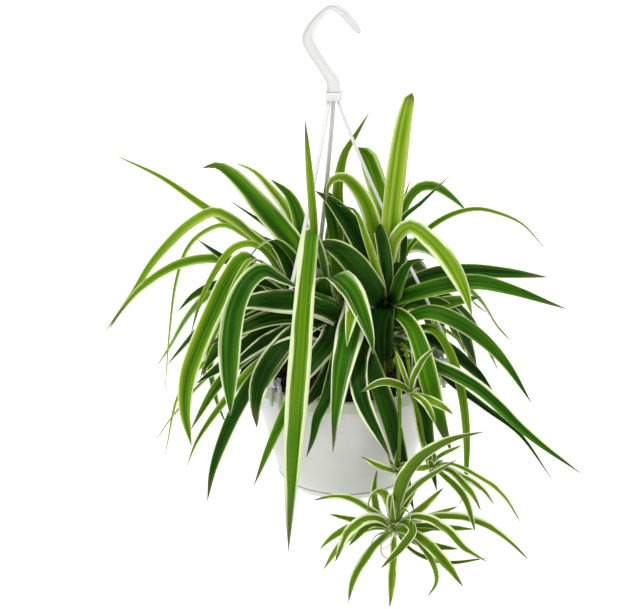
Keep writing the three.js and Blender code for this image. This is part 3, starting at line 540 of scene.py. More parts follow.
def soil_top(x, y):
    lumps = SOIL_LUMPS * (0.5 * math.sin(0.21 * x + 1) * math.cos(0.17 * y)
                          + 0.5 * math.sin(0.43 * x - 0.37 * y))
    crumbs = noise.fractal(Vector((x, y, 0)) * 0.16, 1.0, 2.0, 4)
    return -SOIL_DEPTH + 0.8 * lumps + SOIL_CRUMBS * crumbs


def make_soil():
    floor = -POT_HEIGHT + FLOOR_RISE + FLOOR_THICKNESS + GAP
    top_radius = wall_radius(-SOIL_DEPTH) - WALL - 2 * GAP
    rings = 56
    outline = [Vector((0, floor)), Vector((wall_radius(floor) - WALL - 2 * GAP - 2, floor))]
    outline += [Vector((top_radius * (1 - i / rings), -SOIL_DEPTH)) for i in range(rings + 1)]
    bm = bmesh.new()
    add_turned(bm, outline, steps=160)
    for vert in bm.verts:
        x, y, z = vert.co - RIM
        if z > floor + 5:
            edge = min(1, (top_radius - math.hypot(x, y)) / 3)
            vert.co.z = RIM.z - SOIL_DEPTH + edge * (soil_top(x, y) + SOIL_DEPTH)
    finish_piece("soil_body", bm, SOIL, ["soil"], closed=True)


def make_crumbs(name, count, sizes, flatness, material, seed):
    """Loose grains strewn over the soil."""
    rng = random.Random(seed)
    bm = bmesh.new()
    limit = wall_radius(-SOIL_DEPTH) - WALL - 3
    for _ in range(count):
        reach = limit * math.sqrt(rng.random())
        turn = rng.uniform(0, math.tau)
        x, y = reach * math.cos(turn), reach * math.sin(turn)
        size = rng.uniform(*sizes)
        roll = rng.uniform(0, math.tau)
        axis = Vector((rng.uniform(-1, 1), rng.uniform(-1, 1), 1))
        form = (rng.uniform(0.7, 1.5), rng.uniform(0.7, 1.1), flatness, 1)
        shape = (Matrix.Translation(RIM + Vector((x, y, soil_top(x, y) + 0.35 * size)))
                 @ Matrix.Rotation(roll, 4, axis) @ Matrix.Diagonal(form))
        made = bmesh.ops.create_icosphere(bm, subdivisions=1, radius=size, matrix=shape)
        for vert in made["verts"]:
            vert.co += noise.noise_vector(vert.co * 0.7) * size * 0.35
    finish_piece(name, bm, material, ["soil"])


# Hanger

def make_hook():
    # Middle line in the plane of the hook, with its width, from the open tip to the collar
    line = [(20, -16.4, 4.6), (13, -7.8, 5.6), (7, -1, 5.6), (-0.6, 2.7, 5.4), (-8.7, -3.6, 6.4),
            (-14.6, -11.8, 7.2), (-17.4, -20, 8.4), (-14.4, -29, 7.8), (-8.8, -38, 7.4),
            (-3.4, -46.5, 7.8), (0.2, -52, 9.2), (1.2, -56.6, 10.4), (1.2, -60.5, 10.6)]
    steps = 12 * (len(line) - 1)
    route = route_of([Vector((x, 0, z)) for x, z, _ in line], steps, Vector((0, 1, 0)), even=False)
    stations = [Vector((width, i * 4, 0)) for i, (_, _, width) in enumerate(line)]
    widths = [p.x for p in spline(stations, steps, even=False)[0]]
    deep = HOOK_DEPTH / 2
    web = deep - HOOK_WEB_SINK
    bead = 0.35

    def section(share):
        half = widths[round(share * steps)] / 2
        tip = min(1, 0.55 + share * 14)
        out, inner = half * tip, max(half * tip - HOOK_FLANGE, 0.3)
        face = deep * tip
        side = [(face - bead, out), (face, out - bead), (face, inner + bead), (face - bead, inner),
                (web, inner - 0.3), (web, -inner + 0.3), (face - bead, -inner), (face, -inner - bead),
                (face, -out + bead), (face - bead, -out)]
        return side + [(-s, -o) for s, o in side]

    bm = bmesh.new()
    add_swept(bm, route, section)
    finish_piece("hook_ribbed", bm, HANGER_PLASTIC, ["hanger_hook"], sharp=42,
                 closed=True)


def strand_points(side):
    """The strap's middle line: out of its pocket, down to the ear, under its bar and up again."""
    start_x, start_y = STRAND_STARTS[side]
    angle = math.radians(EAR_ANGLES[side])
    out = Vector((math.cos(angle), math.sin(angle), 0))
    bar = RIM + out * (RIM_RADIUS - EAR_SINK + EAR_DEPTH / 2)
    turn = EAR_RISE - EAR_BAR + 1
    loop = STRAND["loop"]
    mouth = BLOCK["top"] - BLOCK["height"]
    top = Vector((start_x, start_y, mouth + STRAND["pocket"]))
    below = Vector((start_x, start_y, mouth - 1))
    end = bar + out * loop + UP * (turn + 6)
    middle = below.lerp(end, 0.45) - out * 2.5
    points = [top, below, middle, end, bar + out * loop + UP * turn]
    for step in range(1, 6):
        swing = step * math.pi / 6
        points.append(bar + out * loop * math.cos(swing) + UP * (turn - loop * math.sin(swing)))
    return points + [bar - out * loop + UP * turn, bar - out * loop + UP * STRAND["lip"]]


def make_strand(side):
    angle = math.radians(EAR_ANGLES[side])
    across = Vector((-math.sin(angle), math.cos(angle), 0))
    points = strand_points(side)
    route = route_of(points, 12 * (len(points) - 1), across, even=False)
    wide, thick, corner = STRAND["width"] / 2, STRAND["thickness"] / 2, 0.45
    groove = 0.22
    section = [(wide, -thick + corner), (wide, thick - corner), (wide - corner, thick),
               (wide * 0.45, thick), (wide * 0.35, thick - groove), (-wide * 0.35, thick - groove),
               (-wide * 0.45, thick), (-wide + corner, thick), (-wide, thick - corner),
               (-wide, -thick + corner), (-wide + corner, -thick), (wide - corner, -thick)]
    bm = bmesh.new()
    add_swept(bm, route, lambda share: section)
    finish_piece("strap_" + side, bm, HANGER_PLASTIC, ["hanger_strand_" + side],
                 sharp=50, closed=True)


def make_block():
    """The block under the hook, with rounded corners and softer edges above and below."""
    bm = bmesh.new()
    middle = Vector((BLOCK["middle"], 0, BLOCK["top"] - BLOCK["height"] / 2))
    size = (BLOCK["width"], BLOCK["depth"], BLOCK["height"])
    bmesh.ops.create_cube(bm, size=1, matrix=Matrix.Translation(middle) @ Matrix.Diagonal((*size, 1)))
    upright = [edge for edge in bm.edges if abs(edge.verts[0].co.z - edge.verts[1].co.z) > 1]
    bmesh.ops.bevel(bm, geom=upright, offset=2, segments=6, profile=0.5, affect="EDGES", material=-1)
    level = [edge for edge in bm.edges if edge.calc_face_angle(0) > 1]
    bmesh.ops.bevel(bm, geom=level, offset=0.5, segments=3, profile=0.5, affect="EDGES", material=-1)
    finish_piece("block_rounded", bm, HANGER_PLASTIC, ["hanger_block"], sharp=50)


# Leaves

# Each crown's place on the pot, and how far over the rim its leaves part
CROWNS = {
    "right": {"x": 30, "y": 8, "top": 46},
    "centre": {"x": 2, "y": -22, "top": 34},
    "left": {"x": -34, "y": 2, "top": 44},
    "back": {"x": -2, "y": 34, "top": 40},
}

# Leaf colours: how light the green is, how much of each half is margin, and how pale the margin is
LOOKS = {
    # deep: near-black and without margins, painted shade for the leaves inside the crown's core
    "deep": (0.05, -0.10, 0.05),
    "dark": (0.09, 0.09, 0.55),
    "dark_white": (0.09, 0.17, 0.88),
    "dark_broad": (0.08, 0.26, 0.90),
    "green": (0.20, 0.08, 0.55),
    "green_sides": (0.26, 0.13, 0.50),
    "green_lime": (0.32, 0.15, 0.85),
    "green_lined": (0.26, 0.16, 0.85),
    "green_white": (0.22, 0.21, 0.97),
    "green_edge": (0.22, 0.15, 0.97),
    "green_crest": (0.24, 0.22, 0.97),
    "mid": (0.31, 0.12, 0.55),
    "striped": (0.32, 0.24, 0.75),
    "upright": (0.46, 0.13, 0.45),
    "lime_thin": (0.44, 0.15, 0.50),
    "lime_sides": (0.37, 0.18, 0.60),
    "lime_edge": (0.36, 0.28, 0.12),
    "lime_white": (0.48, 0.22, 0.82),
    "lime_broad": (0.48, 0.26, 0.80),
    "olive": (0.46, 0.06, 0.15),
    "olive_white": (0.52, 0.20, 0.75),
    "olive_edge": (0.62, 0.30, 0.95),
    "pale": (0.52, 0.12, 0.35),
    "young_mid": (0.36, 0.25, 0.72),
    "young_lime": (0.46, 0.20, 0.62),
    "young_white": (0.37, 0.34, 0.84),
    "young_green": (0.25, 0.21, 0.72),
    "young_dark": (0.12, 0.17, 0.58),
    "sheath": (0.36, 0.16, 0.35),
    "runner": (0.20, 0.06, 0.20),
}

# Blades with a wider margin on one side
SKEWS = {"dark_broad": -0.55, "green_edge": -0.5, "green_crest": -0.65, "olive_edge": -0.6}

# How bluntly a blade narrows to its tip, where along it is widest, and how wide its base is
TAPERS = {
    "blunt": (3.6, 0.45, 0.55),
    "even": (2.4, 0.45, 0.55),
    "drawn": (1.5, 0.45, 0.55),
    "wedge": (1.1, 0.45, 0.55),
    "square": (14, 0.45, 0.55),
    "late": (1.7, 0.64, 0.45),
    "stalked": (2.0, 0.74, 0.2),
}

# A blade's channel: its fold, how much more it wraps at its base, and over what share of its length
BLADE_FOLD = 0.26
WRAP = 0.9
WRAP_SHARE = 0.09
# Its tip's width and the height of its waves, as shares of its width, and how dry its tip may be
TIP_SHARE = 0.015
WAVE = 0.05
DRYNESS = (0, 0.5, 0.8, 1)
LEAF_THICKNESS = 0.55
YOUNG_THICKNESS = 0.45

# Where the seeds of each kind of blade start, so that every blade is drawn with its own
STEM_SEED = 70
BUD_TURN_SEED = 300
REAR_SEED = 500
NECK_SEED = 900
CROWN_SEED = 1000
YOUNG_SEED = 5000
BUD_SEED = 8000

# A leaf starts this deep inside its neck and this far from the neck's middle
LEAF_START = 14
LEAF_OUT = 3
# A neck's sheaths reach this deep into the soil
NECK_SINK = 4
NECK_SHEATHS = 9
NECK_RADIUS = 7.5

# Leaves that the front view shows: (look, taper, width, how many degrees the face may turn to the
# viewer, for the base and the tip where they differ, then points of the view)
LEAVES = {
    "right": [
        ("upright", "blunt", 15, 80, (34, 76, -16), (34, 100, -21), (39, 151, -20), (44, 184, -12),
         (48, 199, 0), (50, 192, 14)),
        ("lime_edge", "square", 15, 75, (28, 112, 16), (24, 130, 22), (20, 143, 26), (16, 154, 30),
         (9, 161, 33)),
        ("lime_white", "even", 13, (70, 125), (28, 66, -16), (20, 105, -20), (11, 126, -24),
         (-3, 139, -34), (-12, 135, -38), (-15, 120, -40)),
        ("olive_white", "even", 6.5, 70, (26, 60, -22), (16, 91, -30), (6, 114, -32), (-5, 117, -34)),
        ("dark", "even", 18, 70, (20, 69, 2), (11, 91, 6), (-1, 109, 9), (-12, 121, 11),
         (-23, 128, 12)),
        ("dark", "blunt", 19, 75, (24, 48, -26), (17, 60, -32), (8, 72, -38), (-4, 83, -44),
         (-16, 88, -46), (-26, 86, -48)),
        ("green", "drawn", 5, 60, (40, 104, 10), (57, 120, 18), (79, 141, 30)),
        ("green", "drawn", 4.5, 60, (37, 104, 32), (43, 121, 40), (49, 139, 46)),
        ("mid", "stalked", 8, 60, (40, 100, 20), (46, 121, 28), (55, 131, 34), (66, 132, 40),
         (79, 124, 46), (91, 113, 50)),
        ("lime_thin", "drawn", 4.5, 50, (46, 83, 12), (62, 100, 16), (80, 111, 18), (98, 115, 20),
         (114, 112, 22), (132, 104, 24), (149, 86, 26)),
        ("lime_white", "stalked", 13.5, (65, 142), (34, 80, -20), (38, 94, -26), (48, 102, -32),
         (63, 92, -42), (77, 76, -52), (88, 56, -58), (95, 35, -60)),
        ("dark", "blunt", 11, 75, (30, 75, -26), (26, 96, -30), (24, 101, -24), (22, 92, -14)),
        ("dark", "even", 10, 75, (38, 64, -15), (41, 77, -18), (44, 90, -20), (45, 101, -22)),
        ("dark", "even", 10, 60, (37, 50, -16), (42, 65, -24), (49, 75, -28), (59, 77, -29)),
        ("green", "drawn", 13, 60, (41, 48, -14), (57, 53, -25), (77, 58, -27), (100, 60, -27),
         (126, 54, -25), (149, 46, -21), (166, 40, -17)),
        ("green", "even", 12, 50, (50, 60, 20), (68, 66, 28), (92, 68, 32), (118, 67, 34),
         (151, 64, 36)),
        ("mid", "even", 12, 50, (48, 44, 10), (66, 43, 14), (84, 46, 18), (102, 49, 20)),
        ("green", "drawn", 13, 50, (42, 30, -16), (63, 37, -30), (84, 30, -35), (103, 17, -38),
         (121, -2, -40), (140, -31, -40)),
        ("green_crest", "drawn", 11, 50, (46, 14, -22), (63, 0, -34), (82, -9, -42), (101, -20, -48),
         (138, -54, -54), (178, -84, -54)),
        ("dark", "even", 11, 45, (50, 18, 10), (65, 16, 12), (82, 6, 8), (100, -10, 2), (113, -26, -2)),
        ("olive", "even", 7, 45, (48, 24, -16), (66, 24, -30), (78, 8, -33), (87, -22, -34),
         (91, -56, -34), (90, -91, -34), (86, -108, -34)),
        ("pale", "drawn", 4, 30, (55, 26, 6), (70, 26, 10), (84, 17, 10), (98, -1, 8)),
        ("dark", "drawn", 6, 30, (58, 4, -16), (78, -14, -26), (105, -34, -30), (129, -52, -30),
         (155, -87, -28)),
        ("green_sides", "late", 15, 50, (40, 36, -18), (50, 26, -42), (57, 9, -60), (63, -14, -71),
         (70, -40, -79), (80, -68, -80)),
        ("dark", "late", 14, 50, (50, 24, -26), (55, 6, -48), (57, -30, -74), (63, -68, -80),
         (69, -97, -79)),
        # Inner leaves coloured near-black without margins: painted shade in the crown's core
        ("deep", "even", 12, 60, (31, 38, -22), (30, 24, -32), (31, 8, -44), (33, -8, -54)),
        ("deep", "even", 11, 60, (28, 38, -22), (25, 22, -40), (26, 4, -54), (28, -14, -64)),
        ("deep", "even", 15, 60, (25, 44, -4), (19, 38, -4), (13, 26, -4), (10, 8, -4)),
        ("deep", "even", 15.5, 60, (22, 56, 4), (14, 59, 8), (4, 54, 12), (-6, 40, 14)),
    ],
    "centre": [
        ("striped", "late", 17, 20, (-13, 52, -36), (-20, 84, -46), (-26, 97, -60), (-28, 82, -72),
         (-31, 45, -85), (-34, 0, -92), (-38, -55, -95), (-41, -110, -94), (-42, -142, -92)),
        ("green_white", "even", 20, 0, (-18, 50, -38), (-16, 60, -46), (-6, 63, -54), (4, 54, -60),
         (10, 42, -66), (15, 29, -72), (19, 17, -76), (21, 6, -78)),
        ("lime_broad", "even", 13, 0, (6, 46, -54), (5, 36, -68), (3, 25, -78), (1, 11, -86)),
        ("green_edge", "wedge", 21, 30, (7, 38, -38), (4, 24, -62), (0, 7, -80), (-3, -9, -88),
         (-5, -24, -93), (-7, -40, -96), (-9, -68, -97)),
        ("dark", "even", 10, 30, (-4, 12, -50), (-8, -6, -70), (-14, -28, -86), (-21, -43, -89),
         (-24, -57, -90), (-29, -72, -90)),
        ("mid", "even", 9, 30, (-22, 10, -48), (-34, -14, -66), (-46, -41, -76), (-52, -54, -78),
         (-58, -68, -79), (-68, -93, -80)),
        ("dark_white", "even", 17, 50, (-6, 30, -40), (-12, 15, -52), (-22, 2, -62), (-34, -14, -70),
         (-44, -26, -74)),
        ("dark", "even", 16, 50, (-2, 20, -42), (-6, 2, -58), (-13, -12, -70), (-24, -26, -78),
         (-34, -36, -80)),
        ("dark_broad", "blunt", 19, 70, (-2, 30, -34), (-14, 39, -44), (-30, 44, -54), (-48, 45, -58),
         (-68, 45, -58), (-84, 41, -54)),
        ("dark", "even", 14, 50, (-8, 22, -38), (-24, 31, -46), (-40, 34, -50), (-58, 32, -52),
         (-74, 26, -52), (-90, 19, -50), (-102, 12, -46)),
        ("dark_broad", "even", 13, 45, (-10, 14, -40), (-28, 22, -48), (-42, 22, -54), (-57, 16, -60),
         (-72, 6, -62), (-88, -8, -60)),
        ("dark_white", "late", 18, 50, (-16, 32, -40), (-36, 22, -54), (-50, 7, -66), (-59, -6, -72),
         (-65, -20, -76), (-67, -35, -78), (-66, -50, -78)),
        ("green_lined", "stalked", 17, (0, 65), (-14, 42, -38), (-32, 52, -54), (-50, 62, -62),
         (-62, 68, -68), (-73, 60, -76), (-82, 42, -83), (-86, 20, -85), (-87, -5, -86),
         (-86, -41, -85)),
        ("dark", "even", 14, 50, (12, 18, -46), (18, 2, -64), (27, -22, -77), (34, -43, -77),
         (40, -65, -74), (46, -90, -70), (52, -112, -66)),
        ("dark_white", "even", 14, 40, (14, 16, -50), (10, 0, -72), (10, -15, -86), (13, -29, -92),
         (19, -43, -95), (26, -56, -96), (34, -72, -96)),
    ],
    "left": [
        ("olive", "blunt", 6.2, 20, (-27, 72, -20), (-24, 97, -33), (-27, 136, -36), (-31, 182, -34)),
        ("green_lime", "even", 17.5, 70, (-37, 83, 12), (-48, 99, 18), (-61, 114, 24), (-74, 129, 32),
         (-86, 141, 38), (-97, 147, 42), (-108, 145, 46)),
        ("olive_edge", "even", 8.5, 60, (-40, 104, 30), (-57, 130, 42), (-70, 143, 48), (-84, 149, 52)),
        ("green_sides", "even", 13, 65, (-33, 96, 22), (-36, 110, 28), (-43, 125, 34), (-57, 137, 38)),
        ("lime_thin", "drawn", 7, 50, (-47, 73, 8), (-62, 88, 12), (-77, 97, 16), (-108, 117, 22),
         (-139, 138, 28), (-175, 155, 34)),
        ("lime_sides", "even", 9, 60, (-46, 78, 18), (-60, 88, 24), (-75, 99, 28), (-92, 109, 34)),
        ("lime_thin", "even", 8, 50, (-50, 76, -2), (-70, 94, -8), (-85, 106, -12), (-99, 112, -16),
         (-117, 103, -22), (-132, 89, -26), (-147, 71, -30), (-160, 50, -34), (-181, 21, -40)),
        ("lime_thin", "even", 8, 40, (-55, 64, -12), (-78, 74, -20), (-98, 77, -24), (-124, 73, -30),
         (-151, 57, -34), (-168, 38, -38), (-177, 24, -42)),
        ("pale", "drawn", 4, 40, (-58, 78, 12), (-80, 97, 12), (-93, 102, 12), (-109, 95, 12),
         (-119, 84, 12), (-127, 60, 10), (-132, 20, 8), (-135, -21, 6)),
        ("green", "drawn", 5, 50, (-42, 84, 22), (-60, 102, 28), (-73, 111, 32), (-88, 121, 36)),
        ("dark", "drawn", 12, 60, (-52, 58, -16), (-72, 64, -24), (-89, 75, -30), (-111, 91, -36)),
        ("olive", "even", 6, 40, (-54, 74, -22), (-70, 88, -30), (-84, 85, -34), (-98, 67, -36),
         (-109, 44, -36), (-116, 20, -36)),
        ("lime_sides", "even", 9, 20, (-36, 72, -12), (-46, 86, -20), (-55, 91, -26), (-65, 86, -32),
         (-74, 76, -37)),
        ("lime_sides", "blunt", 15, (0, 65), (-46, 60, -14), (-60, 72, -28), (-76, 77, -42),
         (-88, 60, -50), (-99, 37, -58), (-109, 14, -66), (-118, -12, -70), (-120, -38, -71),
         (-115, -64, -70)),
        ("lime_thin", "even", 6, (40, 0), (-48, 56, -20), (-60, 72, -36), (-71, 76, -50),
         (-80, 64, -58), (-88, 46, -62), (-95, 24, -64)),
        ("green", "even", 9, 50, (-56, 48, -2), (-78, 58, -8), (-100, 56, -14), (-114, 49, -16),
         (-126, 37, -18)),
        ("dark", "even", 14, 50, (-50, 36, -8), (-70, 30, -18), (-92, 14, -26), (-107, -8, -30)),
        ("dark_white", "even", 13, 50, (-46, 26, -10), (-66, 18, -26), (-88, 0, -36), (-112, -17, -42)),
        ("mid", "even", 9, 40, (-46, 16, -16), (-70, 6, -34), (-94, -16, -44), (-116, -52, -50)),
        ("lime_thin", "drawn", 7, 40, (-46, 10, -18), (-68, -4, -42), (-92, -32, -54), (-111, -60, -57),
         (-119, -81, -58)),
        ("pale", "drawn", 4, 30, (-58, 20, 2), (-92, 8, -6), (-122, -20, -12), (-135, -71, -16)),
        ("pale", "drawn", 4, 30, (-62, 10, 0), (-98, -8, -4), (-128, -40, -8), (-141, -58, -10)),
        ("lime_sides", "even", 8, 45, (-62, 36, 4), (-94, 28, -2), (-101, 8, -8), (-97, -26, -12),
         (-89, -48, -12)),
        ("dark", "even", 11, 40, (-42, 10, -20), (-56, -2, -44), (-71, -18, -60), (-80, -34, -66),
         (-90, -56, -70), (-99, -82, -70), (-103, -105, -70)),
        ("dark", "even", 10, 40, (-50, 14, -8), (-68, 4, -22), (-82, -20, -34)),
        ("dark", "even", 13, 60, (-36, 52, -4), (-42, 70, -4), (-50, 84, -2), (-62, 94, 2)),
        ("dark_white", "even", 12, 50, (-40, 40, -10), (-52, 52, -20), (-66, 62, -28), (-80, 64, -34)),
    ],
    "back": [
        ("olive", "even", 9, 60, (-5, 110, 24), (-6, 130, 18), (-1, 156, 18), (6, 168, 20),
         (17, 187, 26)),
        ("green", "even", 9, 60, (-9, 96, 24), (-13, 116, 20), (-15, 131, 18), (-12, 138, 16)),
        ("dark_white", "even", 10, 60, (3, 92, 26), (0, 108, 24), (-8, 122, 22), (-17, 129, 20)),
    ],
}

# Leaves behind, laid round their crown by rule: they arch up and out, and droop past the rim.
# Each row: how many, then ranges for their direction, reach, lift, fall and width.
REAR_LEAVES = {
    "back": [
        (9, (28, 106), (92, 148), (2, 34), (6, 86), (11, 16)),
        (4, (34, 88), (60, 84), (20, 46), (-20, 10), (9, 12)),
        (3, (150, 200), (36, 48), (14, 30), (-30, -16), (9, 12)),
    ],
    "left": [
        (6, (112, 174), (84, 126), (-6, 16), (4, 60), (11, 15)),
    ],
    "right": [
        (5, (16, 66), (80, 112), (-6, 18), (4, 56), (11, 15)),
    ],
}
REAR_LOOKS = ["green", "lime_sides", "dark", "green_white", "striped", "dark_white", "green_sides"]
REAR_TURN = 25
SPREAD = (0.618, 0.382, 0.755, 0.57)  # steps that scatter reach, lift, fall and width evenly


def blade_width(share, taper):
    """A blade is narrow at its base, widest near its middle, and comes to a point."""
    power, widest, base = TAPERS[taper]
    rise = base + (1 - base) * min(1, share / (widest - 0.05))
    return rise * (1 - max(0, (share - widest) / (1 - widest)) ** power)


def smooth(value, low, high):
    """Rises gently from 0 at the low value to 1 at the high one."""
    t = min(1, max(0, (value - low) / (high - low)))
    return t * t * (3 - 2 * t)


def turns_to_view(sides, along, turn):
    """How far each side turns about the blade, so many degrees at most, to show its face to the viewer.
    A pair of limits holds for the base and the tip."""
    base_turn, tip_turn = turn if isinstance(turn, tuple) else (turn, turn)
    facing = [way.cross(VIEW_WAY).normalized() for way in along]
    rows = len(sides) - 1
    if facing[rows // 2].dot(sides[rows // 2]) < 0:
        facing = [-place for place in facing]
    turns = []
    for row, (side, face, way) in enumerate(zip(sides, facing, along)):
        wanted = math.atan2(side.cross(face).dot(way), side.dot(face))
        limit = math.radians(mix((base_turn, tip_turn), smooth(row / rows, 0.25, 0.55)))
        turns.append(min(limit, max(-limit, wanted)))
    return turns


def value_layers(bm, values):
    """The mesh's layers for the values that the leaf finish reads."""
    layers = bm.verts.layers.float
    return {name: layers.get(name) or layers.new(name) for name in values}


def add_blade(bm, points, taper, width, turn, look, seed, wrap=WRAP, columns=8, step=5.5):
    """A channelled blade along its middle line, with its own map, colour values and slight waves."""
    rng = random.Random(seed)
    length = sum((q - p).length for p, q in zip(points, points[1:]))
    rows = max(12, min(52, round(length / step)))
    run = points[-1] - points[0]
    sideways = UP.cross(Vector((run.x, run.y, 0)).normalized())
    places, along = spline(points, rows)
    tone, margin, cream = LOOKS[look]
    values = {"tone": tone + rng.uniform(-0.06, 0.06), "margin": margin * rng.uniform(0.8, 1.2),
              "cream": cream + rng.uniform(-0.15, 0.1), "dry": rng.choice(DRYNESS),
              "seed": rng.random()}
    twist = math.radians(rng.uniform(-9, 9))
    ripples = rng.uniform(2.5, 5)
    phases = (rng.uniform(0, math.tau), rng.uniform(0, math.tau))
    uneven = rng.uniform(-0.4, 0.4)
    values["skew"] = SKEWS.get(look, uneven)
    layers = value_layers(bm, values)
    sides = square_to(along, sideways)
    turns = turns_to_view(sides, along, turn)
    frames = []
    for row, (way, side, turned) in enumerate(zip(along, sides, turns)):
        wander = twist * math.sin(math.pi * row / rows)
        side.rotate(Matrix.Rotation(turned + wander, 3, way))
        frames.append((side, way.cross(side)))

    def bend(across, share, vert):
        for name, value in values.items():
            vert[layers[name]] = value
        row = round(share * rows)
        side, face = frames[row]
        half = width / 2 * max(blade_width(share, taper), TIP_SHARE)
        s = 1 - 2 * across
        fold = math.atan(BLADE_FOLD + wrap * math.exp(-share / WRAP_SHARE))
        rise = (math.sqrt(s * s + 0.02) - math.sqrt(0.02)) * (1 - 0.15 * s * s)
        ripple = math.sin(share * ripples * math.tau + phases[s > 0])
        wave = WAVE * ripple * s * s * min(1, 4 * share)
        return (places[row] + side * (s * half * math.cos(fold))
                + face * half * (rise * math.sin(fold) + wave))

    add_grid(bm, columns, rows, bend)


def crown_leaf(crown, route):
    """A crown's leaf starts in the neck, rises inside the bundle and then takes its own way."""
    first = route[0]
    height = min(crown["top"], max(first.z - RIM.z - 8, LEAF_START - SOIL_DEPTH))
    foot = RIM + Vector((crown["x"], crown["y"], height - LEAF_START))
    away = Vector((first.x - foot.x, first.y - foot.y, 0))
    lean = min(5, away.length * 0.3)
    away.normalize()
    foot += away * LEAF_OUT
    rise = foot + away * lean
    rise.z += min(16, max(7, (first.z - foot.z) * 0.6))
    return [foot, rise, *route]


def mix(ends, share):
    return ends[0] + (ends[1] - ends[0]) * share


def rear_leaf(crown, rule, index):
    """A rear leaf's places and width."""
    count, turns, *ranges = rule
    turn = math.radians(mix(turns, index / (count - 1)))
    reach, lift, fall, width = (mix(ends, (index * step + 0.31) % 1)
                                for ends, step in zip(ranges, SPREAD))
    top = crown["top"]
    heights = [(0.22, top + 0.7 * lift), (0.45, top + lift), (0.72, 0.62 * (top + lift) - 0.2 * fall),
               (0.9, 0.2 * top - 0.6 * fall), (1, -fall)]
    route = [RIM + Vector((crown["x"] + reach * share * math.cos(turn),
                           crown["y"] + reach * share * math.sin(turn), height))
             for share, height in heights]
    return route, width


def add_neck(bm, crown, seed):
    """Leaf bases wrapped round each other, from the soil up to where the leaves part."""
    rng = random.Random(seed)
    foot = RIM + Vector((crown["x"], crown["y"], -SOIL_DEPTH - NECK_SINK))
    tall = crown["top"] + SOIL_DEPTH + NECK_SINK
    for i in range(NECK_SHEATHS):
        turn = math.tau * i / NECK_SHEATHS + rng.uniform(-0.2, 0.2)
        out = Vector((math.cos(turn), math.sin(turn), 0))
        top = tall * rng.uniform(0.5, 0.95)
        reach = NECK_RADIUS * rng.uniform(0.55, 0.8)
        points = [foot + out * reach, foot + out * reach + UP * top * 0.4,
                  foot + out * reach * 0.9 + UP * top * 0.8, foot + out * (reach + 1.5) + UP * top]
        add_blade(bm, points, "even", NECK_RADIUS * 1.9, 0, "sheath", seed + i, wrap=1.1, step=4)


def make_crown(name, order):
    crown = CROWNS[name]
    bm = bmesh.new()
    bm.loops.layers.uv.new("UVMap")
    add_neck(bm, crown, NECK_SEED + 40 * order)
    for i, (look, taper, width, turn, *route) in enumerate(LEAVES[name]):
        points = crown_leaf(crown, [view_place(p) for p in route])
        add_blade(bm, points, taper, width, turn, look, CROWN_SEED * order + i)
    rear = [rear_leaf(crown, rule, i) for rule in REAR_LEAVES.get(name, ()) for i in range(rule[0])]
    for i, (route, width) in enumerate(rear):
        look = REAR_LOOKS[i % len(REAR_LOOKS)]
        add_blade(bm, crown_leaf(crown, route), "even", width, REAR_TURN, look,
                  CROWN_SEED * order + REAR_SEED + i)
    finish_piece("leaves_" + name, bm, LEAF, ["crown_" + name], thickness=LEAF_THICKNESS)


# Runners and young plants

RUNNER_RADIUS = 1.3
YOUNG_TURN = 65
STEM_JOINTS = 7
BUD_LEAVES = 7
SHORT_ROOTS = 9

